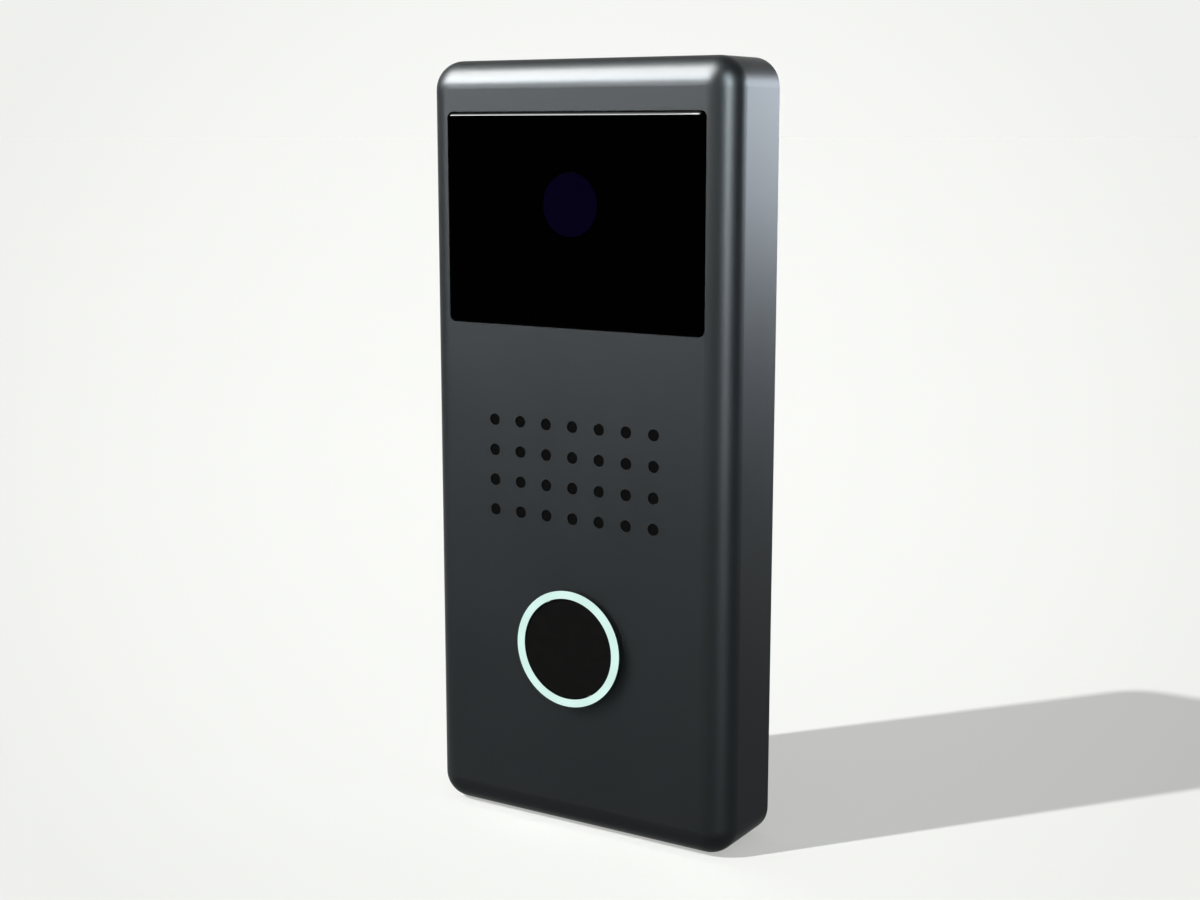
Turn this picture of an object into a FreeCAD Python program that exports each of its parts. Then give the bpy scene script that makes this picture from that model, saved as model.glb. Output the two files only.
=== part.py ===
"""Door intercom station for a wall, in millimetres.

A slim upright metal case with a black camera window, a grille of drilled holes for the speaker
and microphone, and a round call button in a luminous ring. The electronics hang in the case from
the front wall, a sealed rear cover closes it, and the whole station hooks on a steel wall bracket.

Frame: X to the right of somebody facing the station, Y into the wall, Z up. The wall is the plane
Y = 0, the front face looks along -Y, and the origin is the middle of the wall bracket's screws.
"""

import math
import os

import FreeCAD, Part

Vector = FreeCAD.Vector
ALONG_Y = Vector(0, 1, 0)
ALONG_Z = Vector(0, 0, 1)

# Case
case_width = 78.8
case_height = 175.5
corner_radius = 6.6
front_edge_radius = 6.4
rear_edge_break = 0.3
front_wall = 2.6
side_wall = 2.0
ledge_width = 1.6

# Camera window and the glass over the lens
window_side_margin = 6.25
window_top_margin = 11.5
window_height = 47.1
window_corner_radius = 1.4
window_edge_radius = 1.0
window_thickness = 2.0
window_proud = 0.7
window_tape = 0.3
window_ledge = 3.0
glass_radius = 7.0
glass_thickness = 1.2
glass_seat_width = 1.0
glass_proud = 0.05
glass_edge_radius = 0.1
lens_above_window_centre = 3.5

# Camera module
lens_gap = 0.5
lens_head_radius = 6.6
lens_head_length = 2.5
lens_front_radius = 4.6
lens_aperture_radius = 3.2
lens_front_recess = 0.7
lens_front_glass = 1.4
lens_dome_rise = 0.5
lens_barrel_radius = 5.9
lens_barrel_length = 5.2
holder_wall = 1.3
holder_collar_length = 4.5
holder_base_side = 18.0
holder_base_corner = 1.0
holder_base_height = 3.3
holder_roof = 1.1
sensor_side = 7.0
sensor_height = 0.9
filter_side = 8.4
filter_thickness = 0.4
camera_board_width = 52.0
camera_board_height = 54.0
camera_board_thickness = 1.0
camera_boss_inset = 4.0
board_corner_radius = 2.0
camera_chip_side = 7.2
camera_chip_pitch = 11.0
camera_chip_lift = 3.0
camera_part_height = 1.2
camera_to_cover = 0.6

# Ring of infrared lamps round the lens
lamp_board_radius = 19.0
lamp_board_bore = 8.2
lamp_board_thickness = 1.0
lamp_board_depth = 5.0
lamp_circle_radius = 13.6
lamp_count = 8
lamp_side = 3.0
lamp_height = 1.6
lamp_dome_radius = 1.1
lamp_dome_sink = 0.33
spacer_count = 4
spacer_radius = 1.5
spacer_circle_radius = 17.0

# Grille, speaker and microphone
grille_below_window = 32.6
hole_radius = 1.36
hole_pitch = 7.0
hole_columns = 7
hole_rows = 4
mesh_margin = 0.9
mesh_thickness = 0.25
speaker_offset = -3.5
speaker_to_carrier = 2.7
speaker_radius = 18.0
speaker_depth = 5.55
speaker_gap = 1.0
speaker_gasket = 0.8
speaker_gasket_width = 2.4
basket_rim = 2.2
basket_sheet = 0.8
basket_floor_depth = 3.3
basket_vents = 6
basket_vent_radius = 1.9
yoke_radius = 8.6
yoke_wall = 0.8
yoke_depth = 3.6
magnet_radius = 6.0
top_plate_radius = 6.5
top_plate_thickness = 0.8
coil_gap = 0.3
coil_depth = 2.7
cone_thickness = 0.25
cone_radius = 12.6
cone_set_back = 0.75
dome_rise = 0.5
profile_steps = 8
surround_roll = 0.5
washer_radius = 3.2
washer_thickness = 0.5
washer_count = 4
microphone_column = 3
microphone_row = 1
capsule_radius = 3.0
capsule_height = 2.2
boot_wall = 1.2
boot_lip = 0.5
boot_mouth_radius = 1.8
boot_lead_radius = 1.5

# Call button
ring_radius = 12.72
ring_tube_radius = 0.98
ring_crest = 3.08
guide_wall = 1.0
guide_legs = 8
guide_leg_radius = 0.45
sleeve_wall = 0.4
sleeve_front = 1.5
cap_gap = 0.14
cap_thickness = 1.8
cap_face_set_back = 0.98
cap_edge_radius = 0.3
cap_skirt_length = 1.4
cap_skirt_wall = 1.2
button_travel = 0.8
stem_radius = 2.4
stem_running_gap = 0.08
carrier_floor = 1.4
carrier_flange_radius = 19.6
carrier_gasket = 0.6
carrier_gasket_width = 1.1
carrier_screw_circle = 17.4
carrier_screws = 3
clip_radius = 4.0
clip_thickness = 0.6
clip_mouth = 3.4
clip_groove = 0.4
clip_gap = 0.05
spring_radius = 6.6
spring_wire = 0.6
spring_turns = 3
plunger_radius = 1.6
plunger_proud = 0.8
plunger_length = 1.6
plunger_gap = 0.05
switch_side = 6.2
switch_corner = 0.6
switch_height = 3.2
ring_led_side = 1.6
ring_led_height = 0.7
ring_led_gap = 0.3

# Main board and what it carries behind
board_thickness = 1.6
board_top_gap = 5.7
board_bottom_margin = 9.75
board_side_gap = 1.3
board_boss_inset = 4.0
terminal_ways = 6
terminal_pitch = 3.5
terminal_end_wall = 0.4
terminal_height = 7.2
terminal_gap = 0.3
terminal_below_bay_top = 6.0
terminal_entry = 2.5
terminal_entry_length = 5.0
terminal_entry_depth = 4.5
terminal_screw_radius = 1.2
terminal_screw_length = 3.2
terminal_screw_recess = 0.5
terminal_slot_width = 0.45
terminal_slot_depth = 0.7
processor_side = 12.0
processor_height = 1.2
shield_width = 20.0
shield_height = 16.0
shield_depth = 2.4
shield_sheet = 0.3
shield_corner = 1.0
relay_width = 15.0
relay_height = 10.0
relay_depth = 3.4
relay_corner = 0.6
capacitor_radius = 3.15
capacitor_height = 3.4
capacitor_foot_side = 6.5
capacitor_foot_height = 0.6
capacitor_pitch = 9.5
inductor_side = 6.4
inductor_depth = 2.8
inductor_corner = 1.2
inductor_pitch = 19.0
processor_share = 0.26
relay_share = 0.6
inductor_share = 0.81
part_side_margin = 14.6

# Flat cable from the camera board to the main board, and its sockets
flat_cable_width = 12.0
flat_cable_thickness = 0.3
flat_cable_bend = 1.2
flat_cable_run = 1.9
socket_width = 15.0
socket_height = 4.2
socket_depth = 1.1
socket_edge = 0.9

# Speaker leads
lead_radius = 0.5
lead_pitch = 2.0
lead_bend = 1.1
lead_depth = 6.2
lead_socket_width = 6.0
lead_socket_height = 4.0
lead_socket_depth = 2.6
lead_socket_drop = 6.0

# Rear cover and its wire bay
cover_thickness = 1.6
cover_seal = 0.5
rear_recess = 4.6
fit_gap = 0.15
bay_half_width = 16.0
bay_below_board_top = 8.0
bay_height = 28.0
bay_wall = 1.2
bay_corner_radius = 1.2
bay_gasket = 0.6
bay_gasket_width = 1.2
cover_boss_inset = 2.5

# Wall bracket
bracket_thickness = 1.5
bracket_side_margin = 6.4
bracket_end_margin = 11.75
bracket_corner_radius = 4.0
bracket_window_margin = 1.0
wall_screw_side_margin = 7.0
wall_screw_end_margin = 12.0
wall_hole_radius = 2.25
box_slot_radius = 2.0
box_slot_half_pitch = 30.0
box_slot_length = 10.0
hook_centre = 18.0
hook_width = 12.0
hook_leg = 1.4
hook_finger = 2.7
hook_gap = 0.4
catch_gap = 0.2
catch_thickness = 1.1
catch_drop = 3.45
catch_depth = 1.8
flange_half_width = 8.0
flange_gap = 0.85
flange_thickness = 2.0

# Screws
boss_radius = 2.4
pad_radius = 2.1
cover_boss_radius = 2.9
thread_gap = 0.05
board_screw_radius = 1.1
board_screw_grip = 5.0
cover_screw_radius = 1.25
cover_screw_grip = 6.0
small_screw_radius = 0.9
small_screw_grip = 1.8
pilot_extra = 0.3
head_ratio = 1.8
head_height = 1.2
head_edge_radius = 0.4
drive_reach = 1.1
drive_width = 0.42
drive_depth = 0.7
clearance_hole_gap = 0.25
lock_screw_radius = 1.25
lock_screw_head_radius = 2.3
lock_screw_head_depth = 1.25
lock_screw_tip = 0.5
lock_screw_socket = 0.75
lock_screw_socket_depth = 1.2

# Modelling allowances: how far a cut runs past a face, and how deep joined shapes reach into each other
past = 0.01
bury = 0.3

# Depth stations, from the front face back to the wall
window_inside = window_thickness - window_proud
pocket_depth = window_inside + window_tape
lens_length = lens_head_length + lens_barrel_length
camera_board_station = window_inside + lens_gap + lens_length + holder_base_height
camera_back_station = camera_board_station + camera_board_thickness
cover_station = camera_back_station + camera_part_height + camera_to_cover
case_depth = cover_station + cover_thickness + rear_recess
speaker_station = front_wall + mesh_thickness + speaker_gasket
board_station = speaker_station + speaker_depth + speaker_gap
board_back_station = board_station + board_thickness
terminal_depth = case_depth - bracket_thickness - terminal_gap - board_back_station
carrier_station = front_wall + carrier_gasket

# Places across the face, measured from the middle of the case
case_bottom = -case_height / 2
case_top = case_height / 2
window_width = case_width - 2 * window_side_margin
window_top = case_top - window_top_margin
window_middle = window_top - window_height / 2
lens_z = window_middle + lens_above_window_centre
grille_z = window_top - window_height - grille_below_window
button_z = grille_z - speaker_radius - speaker_to_carrier - carrier_flange_radius
cavity_half_width = case_width / 2 - side_wall - ledge_width
cavity_half_height = case_height / 2 - side_wall - ledge_width
rear_half_height = case_height / 2 - side_wall
cover_boss_x = cavity_half_width - cover_boss_inset
cover_boss_z = cavity_half_height - cover_boss_inset
camera_board_z = window_middle
camera_board_bottom = camera_board_z - camera_board_height / 2
board_half_width = cover_boss_x - cover_boss_radius - board_side_gap
board_top = camera_board_bottom - board_top_gap
board_bottom = case_bottom + board_bottom_margin
bay_top = board_top - bay_below_board_top
bay_bottom = bay_top - bay_height
terminal_z = bay_top - terminal_below_bay_top
part_column = board_half_width - part_side_margin
bracket_half_width = case_width / 2 - side_wall - bracket_side_margin
bracket_half_height = rear_half_height - bracket_end_margin
wall_screw_half_x = bracket_half_width - wall_screw_side_margin
wall_screw_half_z = bracket_half_height - wall_screw_end_margin


def at_depth(depth):
    """Y of a plane that lies this far behind the front face."""
    return depth - case_depth


def cylinder(x, z, radius, front, back):
    """Cylinder along Y between two Y planes."""
    return Part.makeCylinder(radius, back - front, Vector(x, front, z), ALONG_Y)


def bore(x, z, radius, front, back):
    """Cutter for a round hole that is open at both Y planes."""
    return cylinder(x, z, radius, front - past, back + past)


def tube(x, z, outer, inner, front, back):
    return cylinder(x, z, outer, front, back).cut(bore(x, z, inner, front, back))


def block(left, right, front, back, low, high):
    return Part.makeBox(right - left, back - front, high - low, Vector(left, front, low))


def centred_block(x, z, width, height, front, back):
    return block(x - width / 2, x + width / 2, front, back, z - height / 2, z + height / 2)


def rounded_plate(x, z, width, height, radius, front, back):
    """Plate with rounded corners, parallel to the wall."""
    left, right, low, high = x - width / 2, x + width / 2, z - height / 2, z + height / 2
    middle = radius * (1 - math.sqrt(0.5))

    def point(px, pz):
        return Vector(px, front, pz)

    def corner(start, through, end):
        return Part.Arc(point(*start), point(*through), point(*end)).toShape()

    def side(start, end):
        return Part.makeLine(point(*start), point(*end))

    edges = [
        side((left + radius, low), (right - radius, low)),
        corner((right - radius, low), (right - middle, low + middle), (right, low + radius)),
        side((right, low + radius), (right, high - radius)),
        corner((right, high - radius), (right - middle, high - middle), (right - radius, high)),
        side((right - radius, high), (left + radius, high)),
        corner((left + radius, high), (left + middle, high - middle), (left, high - radius)),
        side((left, high - radius), (left, low + radius)),
        corner((left, low + radius), (left + middle, low + middle), (left + radius, low)),
    ]
    return Part.Face(Part.Wire(edges)).extrude(Vector(0, back - front, 0))


def slot_cutter(x, z, length, radius, front, back):
    """Cutter for a slot with round ends, long side along Z."""
    half = length / 2 - radius
    ends = [bore(x, z + side * half, radius, front, back) for side in (-1, 1)]
    middle = centred_block(x, z, 2 * radius, 2 * half, front - past, back + past)
    return joined(ends + [middle])


def turned(x, z, profile):
    """Solid of revolution about Y through (x, z); the profile holds (radius, y) points."""
    wire = Part.makePolygon([Vector(x + r, y, z) for r, y in profile + profile[:1]])
    return Part.Face(wire).revolve(Vector(x, 0, z), ALONG_Y, 360)


def circle_places(count, radius, x, z, shift=0.0):
    """Centres evenly spaced on a circle, from its top, turned by a share of the step."""
    step = 2 * math.pi / count
    angles = [math.pi / 2 + step * (i + shift) for i in range(count)]
    return [(x + radius * math.cos(a), z + radius * math.sin(a)) for a in angles]


def mirrored(x, z):
    """The four places that mirror one place in both axes."""
    return [(side * x, end * z) for side in (-1, 1) for end in (-1, 1)]


def front_rim(shape):
    """Edges that lie wholly in the shape's front plane."""
    front = shape.BoundBox.YMin
    return [edge for edge in shape.Edges if edge.BoundBox.YMax < front + past]


def back_rim(shape):
    """Edges that lie wholly in the shape's back plane."""
    back = shape.BoundBox.YMax
    return [edge for edge in shape.Edges if edge.BoundBox.YMin > back - past]


def joined(shapes):
    whole = shapes[0]
    for shape in shapes[1:]:
        whole = whole.fuse(shape)
    return whole.removeSplitter()


def without(shape, cutters):
    for cutter in cutters:
        shape = shape.cut(cutter)
    return shape


def group(shapes):
    """Identical pieces kept together as separate solids."""
    return Part.makeCompound(shapes)


def pan_screw(x, z, radius, seat, length):
    """Screw driven from behind: head behind the seat plane, shank in front of it."""
    back = seat + head_height
    head = cylinder(x, z, radius * head_ratio, seat, back)
    head = head.makeFillet(head_edge_radius, back_rim(head))
    long, narrow = 2 * radius * drive_reach, radius * drive_width
    drive = [
        centred_block(x, z, long, narrow, back - drive_depth, back + past),
        centred_block(x, z, narrow, long, back - drive_depth, back + past),
    ]
    return without(joined([head, cylinder(x, z, radius, seat - length, seat)]), drive)


# Case and window


def cover_boss_places():
    return mirrored(cover_boss_x, cover_boss_z) + [(-cover_boss_x, 0), (cover_boss_x, 0)]


def camera_boss_places():
    x = camera_board_width / 2 - camera_boss_inset
    z = camera_board_height / 2 - camera_boss_inset
    return [(px, camera_board_z + pz) for px, pz in mirrored(x, z)]


def board_boss_places():
    x = board_half_width - board_boss_inset
    middle, half = (board_top + board_bottom) / 2, (board_top - board_bottom) / 2 - board_boss_inset
    return [(px, middle + pz) for px, pz in mirrored(x, half)]


def grille_places():
    first_x = -(hole_columns - 1) / 2 * hole_pitch
    first_z = grille_z + (hole_rows - 1) / 2 * hole_pitch
    columns = [first_x + i * hole_pitch for i in range(hole_columns)]
    rows = [first_z - i * hole_pitch for i in range(hole_rows)]
    return [(x, z) for x in columns for z in rows]


def washer_places():
    """Clamps of the speaker, turned so that no post stands behind a hole of the grille."""
    return circle_places(washer_count, speaker_radius + boss_radius + fit_gap, speaker_offset, grille_z, 0.5)


def carrier_screw_places():
    return circle_places(carrier_screws, carrier_screw_circle, 0, button_z, 0.5)


def hook_spans():
    """Left and right edges of the two hooks at the top of the bracket."""
    centres = (-hook_centre, hook_centre)
    return [(x - hook_width / 2, x + hook_width / 2) for x in centres]


def lock_screw_y():
    """The locking screw stands midway between the bracket's front and the rear cover."""
    return -(rear_recess + bracket_thickness) / 2


def seal_station():
    """Y of the ledge that the rear cover's seal lies on."""
    return at_depth(cover_station) - cover_seal


def case_plate(inset, front, back):
    """Plate with the outline of the case, smaller by the inset on every side."""
    width, height = case_width - 2 * inset, case_height - 2 * inset
    return rounded_plate(0, 0, width, height, corner_radius - inset, front, back)


def window_plate(grow, front, back):
    """Plate with the outline of the window, grown by some width on every side."""
    width, height = window_width + 2 * grow, window_height + 2 * grow
    corner = max(window_corner_radius + grow, window_corner_radius)
    return rounded_plate(0, window_middle, width, height, corner, front, back)


def screw_posts():
    """Posts inside the case: their places, radius, back end, and the screw's radius and grip."""
    ledge = seal_station()
    camera_front, board_front = at_depth(camera_board_station), at_depth(board_station)
    rim_back = at_depth(speaker_station) + basket_sheet - thread_gap
    return [
        (cover_boss_places(), cover_boss_radius, ledge, cover_screw_radius, cover_screw_grip),
        (camera_boss_places(), boss_radius, camera_front, board_screw_radius, board_screw_grip),
        (board_boss_places(), boss_radius, board_front, board_screw_radius, board_screw_grip),
        (washer_places(), boss_radius, rim_back, small_screw_radius, small_screw_grip),
        (carrier_screw_places(), pad_radius, at_depth(carrier_station), small_screw_radius, small_screw_grip),
    ]


def hook_catches():
    """Two blocks under the top wall that hang on the bracket's hooks."""
    front = -bracket_thickness - catch_thickness
    low, high = rear_half_height - catch_drop, rear_half_height + bury
    return [block(left, right, front, front + catch_depth, low, high) for left, right in hook_spans()]


def front_housing():
    """Shell with its posts, catches and every opening in its front and bottom."""
    outside = case_plate(0, at_depth(0), 0)
    outside = outside.makeFillet(front_edge_radius, front_rim(outside))
    outside = outside.makeFillet(rear_edge_break, back_rim(outside))
    inside = at_depth(front_wall)
    cavity = case_plate(side_wall + ledge_width, inside, past)
    recess = case_plate(side_wall, seal_station(), past)
    solids = [outside.cut(cavity).cut(recess)] + hook_catches()
    cutters = []
    for places, radius, back, screw_radius, grip in screw_posts():
        for x, z in places:
            solids.append(cylinder(x, z, radius, inside - bury, back))
            cutters.append(bore(x, z, screw_radius + thread_gap, back - grip - pilot_extra, back))
    cutters.append(window_plate(fit_gap, at_depth(0) - past, at_depth(pocket_depth)))
    cutters.append(window_plate(-window_ledge, at_depth(0), inside + past))
    cutters.append(bore(0, button_z, button_hole_radius(), at_depth(0), inside))
    cutters += [bore(x, z, hole_radius, at_depth(0), inside) for x, z in grille_places()]
    shank = lock_screw_radius + fit_gap
    foot = Vector(0, lock_screw_y(), case_bottom)
    cutters.append(Part.makeCylinder(shank, side_wall + past, foot, ALONG_Z))
    head = lock_screw_head_radius + fit_gap
    cutters.append(Part.makeCone(head, shank, lock_screw_head_depth + fit_gap, foot, ALONG_Z))
    return without(joined(solids), cutters)


def camera_window():
    """Panel with rounded edges and a stepped seat for the glass over the lens."""
    front, back = at_depth(-window_proud), at_depth(window_inside)
    panel = window_plate(0, front, back)
    panel = panel.makeFillet(window_edge_radius, front_rim(panel))
    seat_back = front + glass_thickness - glass_proud
    seat = bore(0, lens_z, glass_radius + thread_gap, front, seat_back - past)
    return without(panel, [seat, bore(0, lens_z, glass_radius - glass_seat_width, front, back)])


def window_tape_frame():
    front, back = at_depth(window_inside), at_depth(pocket_depth)
    return window_plate(0, front, back).cut(window_plate(-window_ledge, front - past, back + past))


def lens_glass():
    front = at_depth(-window_proud - glass_proud)
    disc = cylinder(0, lens_z, glass_radius, front, front + glass_thickness)
    return disc.makeFillet(glass_edge_radius, front_rim(disc))


# Camera module


def lens_barrel():
    front = at_depth(window_inside + lens_gap)
    head_back, back = front + lens_head_length, front + lens_length
    head = cylinder(0, lens_z, lens_head_radius, front, head_back)
    barrel = cylinder(0, lens_z, lens_barrel_radius, head_back, back)
    mouth_back = front + lens_front_recess + lens_front_glass
    mouth = cylinder(0, lens_z, lens_front_radius, front - past, mouth_back)
    return without(joined([head, barrel]), [mouth, bore(0, lens_z, lens_aperture_radius, front, back)])


def lens_front_element():
    """Front lens: a domed glass seated in the mouth of the barrel."""
    front = at_depth(window_inside + lens_gap) + lens_front_recess
    seat_radius = lens_front_radius - thread_gap
    disc = cylinder(0, lens_z, seat_radius, front, front + lens_front_glass)
    ball_radius = (seat_radius ** 2 + lens_dome_rise ** 2) / (2 * lens_dome_rise)
    ball = Part.makeSphere(ball_radius, Vector(0, front - lens_dome_rise + ball_radius, lens_z))
    dome = ball.common(cylinder(0, lens_z, seat_radius, front - lens_dome_rise, front + past))
    return joined([disc, dome])


def lens_holder():
    base_back = at_depth(camera_board_station)
    base_front = base_back - holder_base_height
    tube_radius = lens_barrel_radius + thread_gap + holder_wall
    collar_front = base_front - holder_collar_length
    collar = cylinder(0, lens_z, tube_radius, collar_front, base_front + bury)
    side, corner = holder_base_side, holder_base_corner
    base = rounded_plate(0, lens_z, side, side, corner, base_front, base_back)
    barrel_back = at_depth(window_inside + lens_gap + lens_length)
    thread = bore(0, lens_z, lens_barrel_radius + thread_gap, collar_front, barrel_back)
    light_path = bore(0, lens_z, lens_aperture_radius, collar_front, base_back)
    room_side = filter_side + 2 * fit_gap
    room = centred_block(0, lens_z, room_side, room_side, base_front + holder_roof, base_back + past)
    return without(joined([collar, base]), [thread, light_path, room])


def infrared_filter():
    front = at_depth(camera_board_station) - holder_base_height + holder_roof
    return centred_block(0, lens_z, filter_side, filter_side, front, front + filter_thickness)


def image_sensor():
    back = at_depth(camera_board_station)
    return centred_block(0, lens_z, sensor_side, sensor_side, back - sensor_height, back)


def camera_board():
    front = at_depth(camera_board_station)
    back = front + camera_board_thickness
    width, height = camera_board_width, camera_board_height
    board = rounded_plate(0, camera_board_z, width, height, board_corner_radius, front, back)
    hole = board_screw_radius + clearance_hole_gap
    return without(board, [bore(x, z, hole, front, back) for x, z in camera_boss_places()])


def camera_board_parts():
    """Three chips in a row on the back of the camera board."""
    front = at_depth(camera_back_station)
    back = front + camera_part_height
    side, z = camera_chip_side, lens_z + camera_chip_lift
    return group([centred_block(step * camera_chip_pitch, z, side, side, front, back) for step in (-1, 0, 1)])


def camera_screws():
    seat = at_depth(camera_back_station)
    length = camera_board_thickness + board_screw_grip
    return group([pan_screw(x, z, board_screw_radius, seat, length) for x, z in camera_boss_places()])


def lamp_board():
    front = at_depth(lamp_board_depth)
    return tube(0, lens_z, lamp_board_radius, lamp_board_bore, front, front + lamp_board_thickness)


def infrared_lamps():
    """Square lamps with a small dome, facing out through the window."""
    back = at_depth(lamp_board_depth)
    front = back - lamp_height / 2
    lamps = []
    for x, z in circle_places(lamp_count, lamp_circle_radius, 0, lens_z, 0.5):
        body = centred_block(x, z, lamp_side, lamp_side, front, back)
        dome = Part.makeSphere(lamp_dome_radius, Vector(x, front + lamp_dome_sink, z))
        keep = cylinder(x, z, lamp_dome_radius, front - lamp_dome_radius, front + lamp_dome_sink)
        lamps.append(joined([body, dome.common(keep)]))
    return group(lamps)


def lamp_board_spacers():
    front = at_depth(lamp_board_depth) + lamp_board_thickness
    back = at_depth(camera_board_station)
    places = circle_places(spacer_count, spacer_circle_radius, 0, lens_z, 0.5)
    return group([cylinder(x, z, spacer_radius, front, back) for x, z in places])


# Speaker and microphone


def speaker_mesh():
    """Fine mesh behind the whole grille, cut out round the posts it lies among."""
    front = at_depth(front_wall)
    back = front + mesh_thickness
    left = speaker_offset - speaker_radius - mesh_margin
    right = microphone_place()[0] + capsule_radius + boot_wall + mesh_margin
    middle, width, height = (left + right) / 2, right - left, 2 * (speaker_radius + mesh_margin)
    mesh = rounded_plate(middle, grille_z, width, height, board_corner_radius, front, back)
    posts = washer_places() + board_boss_places()
    return without(mesh, [bore(x, z, boss_radius + fit_gap, front, back) for x, z in posts])


def speaker_gasket_ring():
    front = at_depth(front_wall) + mesh_thickness
    inner = speaker_radius - speaker_gasket_width
    return tube(speaker_offset, grille_z, speaker_radius, inner, front, front + speaker_gasket)


def speaker_basket():
    """Pressed frame: rim, side wall and a vented floor that holds the magnet pot."""
    front = at_depth(speaker_station)
    outer, inner = speaker_radius, speaker_radius - basket_rim
    floor_front = front + basket_floor_depth
    rim_back, floor_back = front + basket_sheet, floor_front + basket_sheet
    side = inner + basket_sheet
    basket = turned(speaker_offset, grille_z, [
        (outer, front), (outer, rim_back), (side, rim_back), (side, floor_back),
        (yoke_radius, floor_back), (yoke_radius, floor_front), (inner, floor_front), (inner, front),
    ])
    places = circle_places(basket_vents, (inner + yoke_radius) / 2, speaker_offset, grille_z)
    return without(basket, [bore(x, z, basket_vent_radius, floor_front, floor_back) for x, z in places])


def speaker_back():
    return at_depth(speaker_station) + speaker_depth


def magnet_yoke():
    back = speaker_back()
    front = back - yoke_depth
    x, inner = speaker_offset, yoke_radius - yoke_wall
    pot = cylinder(x, grille_z, yoke_radius, front, back)
    return pot.cut(cylinder(x, grille_z, inner, front - past, back - yoke_wall))


def speaker_magnet():
    back = speaker_back() - yoke_wall
    front = speaker_back() - yoke_depth + top_plate_thickness
    return cylinder(speaker_offset, grille_z, magnet_radius, front, back)


def magnet_top_plate():
    front = speaker_back() - yoke_depth
    return cylinder(speaker_offset, grille_z, top_plate_radius, front, front + top_plate_thickness)


def coil_radii():
    inner = top_plate_radius + coil_gap
    return inner, yoke_radius - yoke_wall - coil_gap


def voice_coil():
    inner, outer = coil_radii()
    front = at_depth(speaker_station) + cone_set_back + cone_thickness
    return tube(speaker_offset, grille_z, outer, inner, front, front + coil_depth)


def speaker_cone():
    """Shallow cone with a dome in its middle."""
    back = at_depth(speaker_station) + cone_set_back
    inner, outer = coil_radii()
    middle = (inner + outer) / 2
    shares = [i / profile_steps for i in range(profile_steps + 1)]
    front_line = [(middle * share, back - dome_rise * (1 - share ** 2)) for share in shares]
    front_line += [(outer, back), (cone_radius, back)]
    back_line = [(r, y + cone_thickness) for r, y in reversed(front_line)]
    return turned(speaker_offset, grille_z, front_line + back_line)


def speaker_surround():
    """Rolled rubber edge between the cone and the basket rim."""
    back = at_depth(speaker_station) + cone_set_back
    outer = speaker_radius - basket_rim - thread_gap
    inner = cone_radius + thread_gap
    middle, half = (outer + inner) / 2, (outer - inner) / 2
    angles = [math.pi * i / profile_steps for i in range(profile_steps + 1)]
    front_line = [(middle - half * math.cos(a), back - surround_roll * math.sin(a)) for a in angles]
    back_line = [(r, y + cone_thickness) for r, y in reversed(front_line)]
    return turned(speaker_offset, grille_z, front_line + back_line)


def speaker_washers():
    front = at_depth(speaker_station) + basket_sheet
    back, hole = front + washer_thickness, small_screw_radius + thread_gap
    return group([tube(x, z, washer_radius, hole, front, back) for x, z in washer_places()])


def speaker_screws():
    seat = at_depth(speaker_station) + basket_sheet + washer_thickness
    length = small_screw_grip + washer_thickness
    return group([pan_screw(x, z, small_screw_radius, seat, length) for x, z in washer_places()])


def microphone_place():
    x = microphone_column * hole_pitch
    z = grille_z + ((hole_rows - 1) / 2 - microphone_row) * hole_pitch
    return x, z


def microphone_capsule():
    x, z = microphone_place()
    front = at_depth(front_wall) + mesh_thickness + boot_lip
    return cylinder(x, z, capsule_radius, front, front + capsule_height)


def microphone_boot():
    """Rubber boot from the mesh to the board, open in front of the capsule."""
    x, z = microphone_place()
    front, back = at_depth(front_wall) + mesh_thickness, at_depth(board_station)
    lip_back = front + boot_lip
    boot = cylinder(x, z, capsule_radius + boot_wall, front, back)
    mouth = bore(x, z, boot_mouth_radius, front, lip_back)
    room = cylinder(x, z, capsule_radius + thread_gap, lip_back, lip_back + capsule_height)
    leads = bore(x, z, boot_lead_radius, lip_back, back)
    return without(boot, [mouth, room, leads])


# Call button


def guide_radii():
    """Inner and outer radius of the light guide behind its luminous ring."""
    return ring_radius - guide_wall / 2, ring_radius + guide_wall / 2


def sleeve_radii():
    inner = guide_radii()[1] + fit_gap / 2
    return inner, inner + sleeve_wall


def button_hole_radius():
    return sleeve_radii()[1] + fit_gap


def light_ring():
    """Luminous ring, its tubular guide and the legs that collect light at the board."""
    inner, outer = guide_radii()
    middle_y = at_depth(-ring_crest) + ring_tube_radius
    crest = Part.makeTorus(ring_radius, ring_tube_radius, Vector(0, middle_y, button_z), ALONG_Y)
    seat, reach = at_depth(-sleeve_front), ring_radius + 2 * ring_tube_radius
    crest = crest.cut(tube(0, button_z, reach, outer, seat, at_depth(0)))
    floor = at_depth(carrier_station)
    guide = tube(0, button_z, outer, inner, middle_y, floor)
    leg_end = at_depth(board_station) - ring_led_height - ring_led_gap
    places = circle_places(guide_legs, ring_radius, 0, button_z)
    legs = [cylinder(x, z, guide_leg_radius, floor - bury, leg_end) for x, z in places]
    return joined([crest, guide] + legs)


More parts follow.
